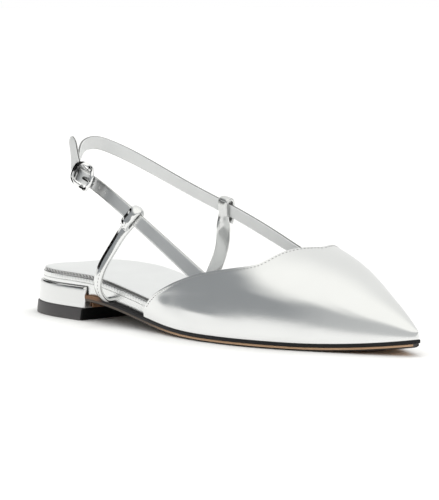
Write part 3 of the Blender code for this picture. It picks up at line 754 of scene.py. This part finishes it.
GIRTH_STEPS, WING_STEPS, TOE_STEPS = 44, 70, 80
wing_shares = [0.03 + 0.97 * i / WING_STEPS for i in range(WING_STEPS + 1)]
toe_ts = spread(along(TOPLINE_AT(1.0)), 1.0, TOE_STEPS + 1)
vamp_sections = [(TOPLINE_AT(share), share) for share in wing_shares]
vamp_sections += [(station(t), 1.0) for t in toe_ts[1:]]
vamp_halves = []
for side in OUTWARD:
    rows = []
    for x, top_share in vamp_sections:
        shares = [top_share * i / GIRTH_STEPS for i in range(GIRTH_STEPS + 1)]
        rows.append([creased_point(x, share, side) for share in shares])
    vamp_halves.append(lay("vamp_" + side, rows))
vamp = join("vamp_leather", vamp_halves)
edit(MERGE, FACE_OUT)
if max(vamp.data.polygons, key=lambda face: face.center.z).normal.z < 0:
    edit((bpy.ops.mesh.flip_normals, {}))
topline_points = np.array(
    [metres(creased_point(*place, side)) for side in OUTWARD for place in vamp_sections[: WING_STEPS + 1]]
)
vamp_normals = [corner.normal.copy() for corner in vamp.data.vertices]
for corner, normal in zip(vamp.data.vertices, vamp_normals):
    away = np.sqrt(((topline_points - np.array(corner.co)) ** 2).sum(axis=1).min()) / MM
    corner.co += normal * (TOPLINE_RISE * MM * ease((TOPLINE_FOLD - away) / TOPLINE_SLOPE))
add_finish(vamp, silver_leather("vamp_silver", 0.15))
add_finish(vamp, lining_leather())
modify(vamp, "SOLIDIFY", thickness=VAMP_WALL * MM, offset=-1, use_even_offset=True, material_offset=1)
rim = {"limit_method": "ANGLE", "angle_limit": math.radians(RIM_ANGLE)}
modify(vamp, "BEVEL", width=RIM_ROUND * MM, segments=4, **rim)
smooth(RIM_ANGLE)
fix(vamp, "vamp_leather", "vamp")

# Thread: fine grey stitches along the topline and the stays.
# One stitch is modelled and copied along each row.
STITCH_LONG, STITCH_WIDE, STITCH_HIGH = 1.2, 0.36, 0.24
STITCH_PITCH = 1.9
TOPLINE_SEAM, SEAM_START, SEAM_LIFT = 1.15, 0.06, 0.1
NEAR_RIDGE = 0.98


def thread():
    """Twisted silver-grey sewing thread with a soft sheen."""
    made, tree, shader = start_finish("thread", 0.5, metallic=0.3)
    twist = use_effect(tree, grain, Pebble=5000.0, Unevenness=0.3)
    tone = mix_colours(tree, twist["Pores"], (0.34, 0.34, 0.335), (0.2, 0.2, 0.2))
    feed(tree, shader, {"Base Color": tone})
    return made


def sew(name, places):
    """Stitches at places of (middle, direction along the seam, direction off the leather)."""
    pattern = primitive(
        bpy.ops.mesh.primitive_uv_sphere_add, name, segments=8, ring_count=5, radius=0.5
    )
    pattern.scale = Vector((STITCH_LONG, STITCH_WIDE, STITCH_HIGH)) * MM
    bpy.ops.object.transform_apply(location=False, rotation=False, scale=True)
    bpy.ops.object.shade_smooth()
    copies = []
    for middle, run, off in places:
        copy = pattern.copy()
        copy.data = pattern.data.copy()
        bpy.context.collection.objects.link(copy)
        across = off.cross(run).normalized()
        run = across.cross(off).normalized()
        axes = Matrix((run, across, off.normalized())).transposed().to_4x4()
        copy.matrix_world = Matrix.Translation(metres(middle)) @ axes
        copies.append(copy)
    bpy.data.objects.remove(pattern)
    piece = join(name, copies)
    bpy.ops.object.transform_apply(location=True, rotation=True, scale=True)
    return piece


def stitch_places(line, faces, lift=0.0):
    """Places at the stitch pitch along a line of points, lifted off the face of the nearest point."""
    runs = [(b - a).length for a, b in zip(line, line[1:])]
    reach = np.concatenate([[0.0], np.cumsum(runs)])
    axes = list(zip(*line))
    found = []
    for at in np.arange(STITCH_PITCH / 2, reach[-1], STITCH_PITCH):
        low, high = (
            Vector([np.interp(at + shift, reach, axis) for axis in axes]) for shift in (-0.4, 0.4)
        )
        middle = (low + high) / 2
        away = [(point - middle).length for point in line]
        face = faces[away.index(min(away))]
        found.append((middle + face * lift, high - low, face))
    return found


grey_thread = thread()
topline_places = []
for side in OUTWARD:
    seam_line, seam_faces = [], []
    for share in spread(SEAM_START, 1.0, 160):
        x, level = TOPLINE_AT(share), min(share, NEAR_RIDGE)
        here = creased_point(x, share, side)
        run = here - creased_point(TOPLINE_AT(share - 0.01), share - 0.01, side)
        inward = section_normal(x, level, side).cross(run).normalized()
        seam_line.append(here + inward * math.copysign(TOPLINE_SEAM, inward.x))
        seam_faces.append(section_normal(x + 1.0, level, side))
    topline_places += stitch_places(seam_line, seam_faces, SEAM_LIFT)
topline_stitches = sew("topline_stitches", topline_places)
add_finish(topline_stitches, grey_thread)
fix(topline_stitches, "vamp_leather")

# Straps: narrow silver leather with a pale lining, creased along both edges.
# The sling runs from the inner wing round the heel and is folded round the buckle's bar.
STRAP_WIDTH, STRAP_THICK = 6.6, 1.3
STRAP_ROUND, STRAP_STEP = 0.24, 1.2
CREASE_IN, CREASE_HALF, CREASE_DEEP = 0.5, 0.12, 0.05
WIDEN, WIDEN_RUN = 0.18, 0.7
LINING_IN, LINING_ROUND = 0.22, 0.3
HOLE_RADIUS = 0.6
HOLE_STATIONS = (58.2, 64.8, 71.2, 77.6)
SLING_LEAN, TAIL_STRAP_LEAN = -8.0, 12.0
SEWN_SLACK = 1.0
WIRE_RADIUS, BAR_RADIUS, PRONG_RADIUS = 0.8, 0.6, 0.5
FRAME_HALF_LENGTH, FRAME_HALF_WIDTH = 7.6, 5.9
FRAME_CORNER, FRAME_BOW = 5.0, 2.7

# Strap ends sewn inside the wings: station, share of the way up
SLING_SEWN = ((190, 0.30), (181, 0.35), (172, 0.40))
TAIL_STRAP_SEWN = ((166, 0.2), (159, 0.245), (152, 0.285))

# Routes of the straps in the air: station, across, height
SLING_ROUTE = (
    (142, 27.4, 45.4), (103, 30.0, 57.5), (78, 29.0, 65.5),
    (58, 25.5, 73.7), (44.5, 18.5, 81.2), (37.2, 7.5, 87.4),
    (35.6, -1.5, 89.6), (36.8, -9.0, 88.2), (41.0, -15.5, 84.0),
)
TAIL_STRAP_ROUTE = ((128, -28.4, 39.9), (99, -29.4, 56.3), (77, -28.9, 67.3))
TAIL_ROUTE = ((48.3, -24.6, 84.0), (46.5, -25.3, 94.0))
TAIL_ACROSS = Vector((0.97, -0.1, 0.1))
TAIL_POINT = (0.3, 0.62, 0.85, 0.96)
TWIST_HEIGHT = 78.5
BUCKLE_CENTRE = Vector((55.8, -26.5, 74.2))
heelward = Vector((-0.87, 0.05, 0.32)).normalized()
outward = Vector((0, 0, 1)).cross(heelward).normalized()
upward = heelward.cross(outward).normalized()
buckle_turn = Matrix.Rotation(math.radians(TAIL_STRAP_LEAN), 3, heelward)
outward.rotate(buckle_turn)
upward.rotate(buckle_turn)


def at_buckle(run, out, up=0.0):
    return BUCKLE_CENTRE + heelward * run + outward * out + upward * up


def sewn(place_on_upper, side):
    """A strap's middle under the upper's wall, and its width direction there."""
    x, share = place_on_upper
    normal = section_normal(x, share, side)
    depth = VAMP_WALL + GAP + STRAP_THICK / 2 + SEWN_SLACK
    ahead = section_point(x + 9, share - 0.05, side) - section_point(x, share, side)
    width = normal.cross(ahead).normalized()
    return section_point(x, share, side) - normal * depth, width if width.z > 0 else -width


def path(rows, step):
    """Points, width directions and headings on a smooth curve through rows of (place, width).

    A width is a direction, or the degrees by which an upright strap leans over its heading.
    """
    places = [Vector(row[0]) for row in rows]
    widths = []
    for i, (_, width) in enumerate(rows):
        if isinstance(width, float):
            lean = math.radians(width)
            run = places[min(i + 1, len(rows) - 1)] - places[max(i - 1, 0)]
            face = run.cross(Vector((0, 0, 1)))
            width = face.cross(run).normalized()
            width.rotate(Matrix.Rotation(lean, 3, run))
        widths.append(Vector(width).normalized())
    steps = [(b - a).length for a, b in zip(places, places[1:])]
    knots = np.concatenate([[0.0], np.cumsum(steps)])
    curve = cubic(knots, places)
    width_curve = cubic(knots, widths)
    shares = [0.0]
    for start, end in zip(knots, knots[1:]):
        count = max(2, round((end - start) / step))
        shares += [start + (end - start) * (i + 1) / count for i in range(count)]
    small = 0.01
    headings = [Vector(curve(s + small) - curve(s - small)).normalized() for s in shares]
    return [Vector(curve(s)) for s in shares], [Vector(width_curve(s)) for s in shares], headings


def inked_edge_and_painted_shade():
    """The straps' cut edges, dark grey, partly edge ink and partly painted shade for the dark line along
    each edge.
    """
    greys = (0.10, 0.10, 0.10), (0.24, 0.24, 0.235)
    return grained_finish("inked_edge_and_painted_shade", 0.45, 3000.0, 0.8, greys, 0.0)[0]


def strap_section():
    """Points round a strap, (across, out), and the finish from each: 0 face, 1 lining, 2 edge."""
    a, b, r = STRAP_WIDTH / 2, STRAP_THICK / 2, STRAP_ROUND
    half = [(u, b) for u in (0, a / 6, a / 3, a / 2, a - CREASE_IN - CREASE_HALF - 0.15)]
    for k in range(-2, 3):
        deep = CREASE_DEEP * math.cos(math.pi / 4 * k) ** 2
        half.append((a - CREASE_IN + CREASE_HALF * k / 2, b - deep))
    half += [(a - r + s, b - r + c) for c, s in arc(r, (0, 30, 60, 90))] + [(a, -0.1)]
    face_count = len(half)
    lining = a - LINING_IN - LINING_ROUND
    half.append((a - LINING_IN, -0.22))
    half += [(lining + c, LINING_ROUND - b - s) for c, s in arc(LINING_ROUND, (0, 45, 90))]
    half += [(lining - 0.25, -b), (a * 0.3, -b)]
    lining_count = len(half) - face_count
    slots = [0] * (face_count - 3) + [2] * 3 + [1] * (2 * lining_count - 1)
    slots += [2] * 3 + [0] * (face_count - 3)
    return half + [(-u, v) for u, v in half[:0:-1]], slots


def face_at(row, outer):
    """A strap's directions at a row of its path: along, across and out of its face."""
    _, wide, run = row
    across = (wide - run * wide.dot(run)).normalized()
    return run, across, run.cross(across) * outer


def ribbon(name, route, profile, outer, ends=(), widen=0.0):
    """A flat strap along a path; outer is 1 or -1 for its face, ends narrow its last points.

    widen is the share by which its first point is wider, lost evenly on the way to the buckle.
    """
    section, slots = profile
    loops = []
    last = len(route[0]) - 1
    for i, row in enumerate(zip(*route)):
        _, across, face = face_at(row, outer)
        share = ends[last - i] if last - i < len(ends) else 1.0
        share += widen * max(0.0, 1 - i / (WIDEN_RUN * last))
        loops.append([row[0] + across * u * share + face * v for u, v in section])
    return roll(name, loops, slots)


def punch(piece, route, outer, stations):
    """Round holes through a strap where its middle passes the stations, on the outer side."""
    beside = [row for row in zip(*route) if row[0].y < 0]
    for x in stations:
        row = min(beside, key=lambda row: abs(row[0].x - x))
        drill = primitive(
            bpy.ops.mesh.primitive_cylinder_add,
            "drill",
            vertices=28,
            radius=HOLE_RADIUS * MM,
            depth=5 * MM,
            location=metres(row[0]),
            rotation=face_at(row, outer)[2].to_track_quat("Z", "Y").to_euler(),
        )
        modify(piece, "BOOLEAN", operation="DIFFERENCE", solver="EXACT", object=drill)
        bpy.data.objects.remove(drill)
    piece.select_set(True)
    smooth()


def seam_places(rows, outer, offset, lift):
    """Stitch places along rows of a path, offset across from its middle and lifted to its face."""
    line, faces = [], []
    for row in rows:
        _, across, face = face_at(row, outer)
        line.append(row[0] + across * offset + face * lift)
        faces.append(face)
    return stitch_places(line, faces)


def buckled(places):
    """Rows of a path at places of the buckle, (towards the heel, out)."""
    return [(at_buckle(run, out), upward) for run, out in places]


bar_level = -FRAME_BOW
fold = BAR_RADIUS + GAP + STRAP_THICK / 2
under_frame = -(WIRE_RADIUS + GAP + STRAP_THICK / 2)
under_tail = under_frame - STRAP_THICK - GAP
sling_rows = [sewn(p, "inner") for p in SLING_SEWN]
sling_rows += [(place, SLING_LEAN) for place in SLING_ROUTE]
sling_rows += buckled(((12, -5.6), (8, under_tail - 0.4), (3.6, -2.5), (1, bar_level + fold)))
sling_rows += buckled((c, bar_level + s) for c, s in arc(fold, range(90, 271, 30)))
sling_rows += buckled(((3.6, -4.4), (8, -5.6), (11.5, -7.2)))
strap_finishes = silver_leather("strap_silver", 0.28), lining_leather(), inked_edge_and_painted_shade()
sling_path = path(sling_rows, STRAP_STEP)
sling = ribbon("sling_leather", sling_path, strap_section(), 1)
for finish in strap_finishes:
    add_finish(sling, finish)
fix(sling, "strap_leather", "sling_strap")

over_fold = bar_level + fold + STRAP_THICK + GAP
tail_rows = [sewn(p, "outer") for p in TAIL_STRAP_SEWN]
tail_rows += [(place, TAIL_STRAP_LEAN) for place in TAIL_STRAP_ROUTE]
tail_rows += buckled(((-FRAME_HALF_LENGTH - 1.5, under_frame), (-FRAME_HALF_LENGTH + 1.0, under_frame)))
tail_rows += buckled(((-0.5, over_fold), (1.8, over_fold), (FRAME_HALF_LENGTH - 1.0, under_frame)))
tail_rows += [(place, TAIL_ACROSS) for place in TAIL_ROUTE]
tail_path = path(tail_rows, STRAP_STEP)
tail_strap = ribbon("buckle_strap_leather", tail_path, strap_section(), -1, TAIL_POINT, WIDEN)
for finish in strap_finishes:
    add_finish(tail_strap, finish)
punch(tail_strap, tail_path, -1, HOLE_STATIONS)
for polygon in tail_strap.data.polygons:
    if polygon.center.z > TWIST_HEIGHT * MM and polygon.material_index == 0:
        polygon.material_index = 1
fix(tail_strap, "strap_leather", "buckle_strap")

# Stays: the side loops that hold the straps up, narrow rolled strips of the same leather.
# Each is sewn under the insole's edge, goes up inside its strap and is folded over it and sewn down.
OUTER_STAY_WIDTH, INNER_STAY_WIDTH = 6.0, 7.2
OUTER_HALF_THICK, INNER_HALF_THICK = 1.15, 0.95
SLOPE_START, SLOPE_LOSS = 0.2, 0.8
KEEPER_STAND = 0.7
ROLL_SQUARE = 0.6
STAY_SEAM, STAY_STEP = 1.3, 1.0
KEEPER_DROP, LAP_DROP, LAP_OUT = 10.5, 7.2, 0.5
OUTER_LEAN, INNER_LEAN = 12.0, -8.0
OUTER_TURNS, INNER_TURNS = (0.0, 0.0, 0.0, 0.0), (25.0, 28.0, 36.0, 44.0)
OUTER_KEEPER, INNER_KEEPER = 99.0, 103.0
OUTER_FOOT, INNER_FOOT = 76.0, 90.0
STAY_FOOT = ((-10, 0), (-3, 0), (1.2, 0), (3.6, 1.7))
OUTER_STAY_ROUTE = ((76.2, -33.2, 18.0), (78.8, -34.2, 27.5), (86.2, -31.6, 40.5))
INNER_STAY_ROUTE = ((90.6, 30.0, 18.0), (95.0, 31.0, 28.0), (100.0, 30.6, 40.0))


def squared(value, power):
    """A cosine or a sine made squarer by a power under 1."""
    return math.copysign(abs(value) ** power, value)


def rolled_section(width, half_thick, heel_loss=0.0):
    """Points round a strip whose edges are turned in.

    heel_loss is the share of its thickness that is lost towards the heel side.
    """
    section = []
    for u, v in arc(1.0, range(0, 360, 10)):
        wide = squared(u, ROLL_SQUARE)
        thin = 1.0 - heel_loss * max(0.0, wide - SLOPE_START) / (1.0 - SLOPE_START)
        section.append((wide * width / 2, squared(v, ROLL_SQUARE) * half_thick * thin))
    return section, [0] * len(section)


def stay_path(side, strap_path, keeper_x, lean_degrees, turns, routes, foot_x):
    """The route of a side loop; lean_degrees turns its keeper from square across the strap.

    turns are the degrees its free run is turned about the upright, from the foot to the keeper.
    """
    sign = OUTWARD[side]
    beside = [row for row in zip(*strap_path) if row[0].y * sign > 0]
    middle, wide, run = min(beside, key=lambda row: abs(row[0].x - keeper_x))
    if run.x > 0:
        run = -run
    up = (wide - run * wide.dot(run)).normalized()
    inward = run.cross(up)
    if inward.y * sign > 0:
        inward = -inward
    lean = math.radians(lean_degrees)
    climb = up * math.cos(lean) - run * math.sin(lean)
    width = run * math.cos(lean) + up * math.sin(lean)
    reach = STRAP_THICK + GAP + 0.1
    crown = STRAP_WIDTH / 2 + 0.2
    slope = Vector((1, 0, midsole_top(foot_x + 0.5) - midsole_top(foot_x - 0.5)))
    foot_y = EDGE_AT[side](along(foot_x))
    foot_z = midsole_top(foot_x) + GAP + STRAP_THICK / 2 + 0.05
    rows = [(Vector((foot_x, foot_y + sign * out, foot_z + rise)), -slope) for out, rise in STAY_FOOT]
    twists = [Matrix.Rotation(math.radians(degrees), 3, "Z") for degrees in turns]
    for i, route in enumerate(routes):
        rows.append((Vector(route), twists[i] @ -slope.lerp(-width, (i + 1) / 4)))
    rows.append((middle + inward * reach - climb * KEEPER_DROP, twists[-1] @ width))
    rows += [(middle + inward * reach + climb * h, width) for h in (-4.0, 0.0, crown)]
    for c, s in arc(1.0, (45, 90, 135)):
        over = reach + KEEPER_STAND * (1 - c) / 2
        rows.append((middle + inward * over * c + climb * (crown + reach * s), width))
    over = reach + KEEPER_STAND
    rows += [(middle - inward * over + climb * h, width) for h in (crown, 0.0, -4.4)]
    rows.append((middle - inward * LAP_OUT - climb * LAP_DROP, width.lerp(twists[-1] @ width, 0.6)))
    return path(rows, STAY_STEP)


def stay_seams(route, outer, lift):
    """Stitch places on a stay's outside: up its free run, down its keeper and across its end."""
    rows = list(zip(*route))
    heights = [row[0].z for row in rows]
    top = heights.index(max(heights))
    foot = next(i for i, z in enumerate(heights) if z > 15)
    lap = min(range(foot, top), key=lambda i: abs(heights[i] - heights[-1]))
    found = seam_places(rows[foot : lap - 1], outer, -STAY_SEAM, lift)
    found += seam_places(rows[top + 4 :], -outer, -STAY_SEAM, lift)
    _, across, face = face_at(rows[-2], -outer)
    for k in (-1, 0, 1):
        found.append((rows[-2][0] + across * k * STITCH_PITCH + face * lift, across, face))
    return found


outer_stay_path = stay_path(
    "outer", tail_path, OUTER_KEEPER, OUTER_LEAN, OUTER_TURNS, OUTER_STAY_ROUTE, OUTER_FOOT
)
inner_stay_path = stay_path(
    "inner", sling_path, INNER_KEEPER, INNER_LEAN, INNER_TURNS, INNER_STAY_ROUTE, INNER_FOOT
)
outer_profile = rolled_section(OUTER_STAY_WIDTH, OUTER_HALF_THICK, SLOPE_LOSS)
inner_profile = rolled_section(INNER_STAY_WIDTH, INNER_HALF_THICK)
outer_stay = ribbon("outer_stay_leather", outer_stay_path, outer_profile, 1)
add_finish(outer_stay, silver_leather("outer_stay_silver", 0.1))
fix(outer_stay, "strap_leather", "stay_lateral")
inner_stay = ribbon("inner_stay_leather", inner_stay_path, inner_profile, -1)
# Painted shade: the inner stay is the same silver leather in a darker colour, for its shaded look on the
# far side.
add_finish(inner_stay, silver_leather("inner_stay_silver_painted_shade", 0.2, colour=(0.74, 0.745, 0.74)))
fix(inner_stay, "strap_leather", "stay_medial")
stay_places = stay_seams(outer_stay_path, 1, OUTER_HALF_THICK)
stay_places += stay_seams(inner_stay_path, -1, INNER_HALF_THICK * 0.95)
stay_stitches = sew("stay_stitches", stay_places)
add_finish(stay_stitches, grey_thread)
fix(stay_stitches, "strap_leather")

# Buckle: a small bowed wire frame with a bar across its middle, bright-plated.
# The prong is bent round the bar, goes through the strap and rests on the frame's toe end.
FRAME_THICK, FRAME_WIDE = 0.65, 0.95
FRAME_SQUARE, FRAME_SLOPE = 0.6, 0.3


def chrome(name, painted_reflection_from):
    """Bright plating with faint polishing haze, painted near black from a place towards the heel end up
    as a painted dark reflection.
    """
    made, tree, shader = start_finish(name, 0.08, metallic=1.0)
    heel_end = (heelward + upward * 0.45).normalized()
    pair = {0: place_in(tree), 1: heel_end}
    reach = add_node(tree, "VectorMath", pair, operation="DOT_PRODUCT").outputs["Value"]
    start = (BUCKLE_CENTRE - Vector((MIDDLE, 0, 0))).dot(heel_end) + painted_reflection_from
    # Painted reflection: the base colour turns near black past the given place, for dark reflections at
    # the heel end.
    painted_reflection_mask = ramp(tree, reach, start * MM, (start + 0.5) * MM)
    tone = mix_colours(tree, painted_reflection_mask, (0.86, 0.86, 0.86), (0.02, 0.02, 0.02))
    sheen = use_effect(tree, film, Gloss=0.05, Haze=0.06, Wave_Size=200.0)
    feed(tree, shader, {"Base Color": tone, "Roughness": sheen["Roughness"]})
    return made


def rod(name, points, section, side_axis, closed=False, taper=None):
    """A bar along points; its section is rows of (along side_axis, away from the middle).

    taper gives the share of its size along it.
    """
    last = len(points) - 1
    middle = sum(points, Vector()) / len(points)
    loops = []
    for i, point in enumerate(points):
        before = points[i - 1] if closed or i else point
        after = points[(i + 1) % len(points)] if closed or i < last else point
        run = (after - before).normalized()
        across = (side_axis - run * side_axis.dot(run)).normalized()
        face = run.cross(across)
        if closed and face.dot(point - middle) < 0:
            face = -face
        size = taper(i / last) if taper else 1.0
        loops.append([point + across * u * size + face * v * size for u, v in section])
    if closed:
        loops.append(loops[0])
    return roll(name, loops)


# Painted reflection: the frame's heel end is painted near black.
plating = chrome("bright_plating_painted_reflection", 5.7)
corner_run, corner_up = FRAME_HALF_LENGTH - FRAME_CORNER, FRAME_HALF_WIDTH - FRAME_CORNER
frame_points = []
for c, s in arc(1.0, [3.75 * i for i in range(96)]):
    run = FRAME_CORNER * c + corner_run * max(-1.0, min(1.0, 3.2 * c))
    up = FRAME_CORNER * s + corner_up * max(-1.0, min(1.0, 3.2 * s))
    out = -FRAME_BOW * (1 - (run / FRAME_HALF_LENGTH) ** 2) ** 2
    frame_points.append(at_buckle(run, out, up))
frame_section = []
for u, v in arc(1.0, range(0, 360, 15)):
    wide = FRAME_WIDE * squared(v, FRAME_SQUARE)
    slope = FRAME_SLOPE * wide if u > 0 else 0.0
    frame_section.append((FRAME_THICK * squared(u, FRAME_SQUARE) - slope, wide))
buckle_frame = rod("buckle_frame_wire", frame_points, frame_section, outward, closed=True)
buckle_bar = rod(
    "buckle_bar",
    [at_buckle(0, bar_level, up) for up in spread(-FRAME_HALF_WIDTH, FRAME_HALF_WIDTH, 9)],
    arc(BAR_RADIUS, range(0, 360, 20)),
    outward,
)
modify(buckle_frame, "BOOLEAN", operation="UNION", solver="EXACT", object=buckle_bar)
bpy.data.objects.remove(buckle_bar)
add_finish(buckle_frame, plating)
fix(buckle_frame, "buckle_metal", "buckle_frame")

hook = BAR_RADIUS + 0.2 + PRONG_RADIUS
rest = WIRE_RADIUS + GAP + PRONG_RADIUS
prong_places = [(c, bar_level + s) for c, s in arc(hook, range(-120, 91, 30))]
prong_places += [(-1.4, -0.9), (-2.4, 0.6), (-3.6, 1.6), (-5.6, rest + 0.1), (-8.8, rest)]
prong_path = path(buckled(prong_places), 0.35)
prong = rod(
    "buckle_prong_wire",
    prong_path[0],
    arc(PRONG_RADIUS, range(0, 360, 20)),
    upward,
    taper=lambda share: 1.6 - 0.7 * ease((share - 0.45) / 0.4) - 0.4 * ease((share - 0.85) / 0.15),
)
# Painted reflection: most of the prong, all but its tip, is painted near black.
add_finish(prong, chrome("prong_plating_painted_reflection", -7.5))
fix(prong, "buckle_metal", "buckle_prong")

# Studio: a plain pale floor, a soft light from above and a pale room that is dim at eye level.
# The camera keeps the photograph's angle to the shoe and frames the one shoe.
FLOOR_SIZE = 60.0
AZIMUTH, ELEVATION = math.radians(47.0), math.radians(6.4)
DISTANCE = 1.25
LENS, SENSOR = 181.0, 36.0
LAMP_POWER, LAMP_SPREAD = 0.9, math.radians(60)
CANOPY_TILT = 0.48
ROOM_DIM, ROOM_BRIGHT = (0.32, 0.335, 0.345), (1.16, 1.16, 1.125)
ROOM_FRONT = (0.62, 0.63, 0.63)
ROOM_BEHIND = (0.92, 0.925, 0.91)
ROOM_LOW, ROOM_HIGH = (0.05, 0.05, 0.05), (1.2, 1.2, 1.19)
STAND = Vector((0.0007, 0.0, 0.025))
AIM = Vector((0.0, 0.0, 0.04))


def paint(name, colour, specular):
    """Plain matt paint."""
    made, tree, shader = start_finish(name, 0.9, specular=specular)
    feed(tree, shader, {"Base Color": colour})
    return made


floor = primitive(bpy.ops.mesh.primitive_plane_add, "floor", size=FLOOR_SIZE)
add_finish(floor, paint("floor_paint", (0.9, 0.9, 0.89), 0.1))

room = bpy.data.worlds.new("room")
bpy.context.scene.world = room
room.use_nodes = True
sky = room.node_tree
sky.nodes.clear()
looking = add_node(sky, "TexCoord").outputs["Generated"]
height = add_node(sky, "SeparateXYZ", {"Vector": looking}).outputs["Z"]


def reckon(operation, *values):
    """A sum in the room's shader."""
    return add_node(sky, "Math", dict(enumerate(values)), operation=operation).outputs[0]


def towards(rise):
    """A direction from the shoe to the camera's side that rises by an angle."""
    level = math.cos(rise)
    return Vector((math.sin(AZIMUTH) * level, -math.cos(AZIMUTH) * level, math.sin(rise)))


def facing(direction):
    """How far a direction of the room agrees with another, -1 to 1."""
    pair = {0: looking, 1: direction}
    return add_node(sky, "VectorMath", pair, operation="DOT_PRODUCT").outputs["Value"]


def background(colour):
    return add_node(sky, "Background", {"Color": colour, "Strength": 1.0}).outputs[0]


before = facing(towards(0.0))
low_edge = ramp(sky, reckon("MULTIPLY_ADD", ramp(sky, before, 0.6, 0.8), -0.17, height), 0.19, 0.40)
tilted = facing(towards(math.pi / 2 - CANOPY_TILT))
canopy = reckon("MULTIPLY", low_edge, ramp(sky, tilted, 0.42, 0.73))
above = mix_colours(sky, ramp(sky, before, 0.3, -0.8), ROOM_BRIGHT, ROOM_BEHIND)
sides = reckon("MAXIMUM", ramp(sky, height, 0.6, 0.82), ramp(sky, before, -0.34, -0.5))
dim = mix_colours(sky, ramp(sky, before, 0.66, 0.84), ROOM_DIM, ROOM_FRONT)
mirrored = mix_colours(sky, reckon("MAXIMUM", canopy, sides), dim, above)
spread_light = mix_colours(sky, ramp(sky, height, 0.05, 0.7), ROOM_LOW, ROOM_HIGH)
ray = add_node(sky, "LightPath").outputs
lit = {0: ray["Is Diffuse Ray"], 1: background(mirrored), 2: background(spread_light)}
lit_room = add_node(sky, "MixShader", lit).outputs[0]
shown = {0: ray["Is Camera Ray"], 1: lit_room, 2: background((1.0, 1.0, 1.0))}
room_end = sky.nodes.new("ShaderNodeOutputWorld")
feed(sky, room_end, {"Surface": add_node(sky, "MixShader", shown).outputs[0]})

bpy.ops.object.light_add(type="SUN", location=(0.3, -0.4, 1.0))
lamp = bpy.context.object
lamp.name = "overhead_soft_light"
lamp.data.energy = LAMP_POWER
lamp.data.angle = LAMP_SPREAD
lamp.rotation_euler = Vector((-0.2, 0.35, 1.0)).to_track_quat("Z", "Y").to_euler()
lamp.visible_glossy = False

# Dark cards beside the heel, out of the picture, are what the keepers and the buckle mirror as black
card_paint = paint("card_paint", (0.003, 0.003, 0.003), 0.0)
for name, (x, low, high) in {
    "low_card": (-0.13, (-0.09, 0.036), (-0.035, 0.07)),
    "high_card": (-0.13, (-0.05, 0.078), (0.0, 0.14)),
    "far_card": (-0.2, (-0.05, 0.04), (0.03, 0.085)),
    "side_card": (-0.13, (-0.105, 0.089), (-0.045, 0.128)),
}.items():
    middle = (x, (low[0] + high[0]) / 2, (low[1] + high[1]) / 2)
    upright = (0, math.radians(90), 0)
    card = primitive(bpy.ops.mesh.primitive_plane_add, name, size=1, location=middle, rotation=upright)
    card.scale = (high[1] - low[1], high[0] - low[0], 1.0)
    add_finish(card, card_paint)
    card.visible_camera = card.visible_diffuse = card.visible_shadow = False

bpy.ops.object.camera_add(location=STAND + towards(ELEVATION) * DISTANCE)
camera = bpy.context.object
camera.rotation_euler = (camera.location - AIM).to_track_quat("Z", "Y").to_euler()
camera.data.lens = LENS
camera.data.sensor_width = SENSOR
bpy.context.scene.camera = camera
bpy.context.scene.view_settings.view_transform = "Standard"
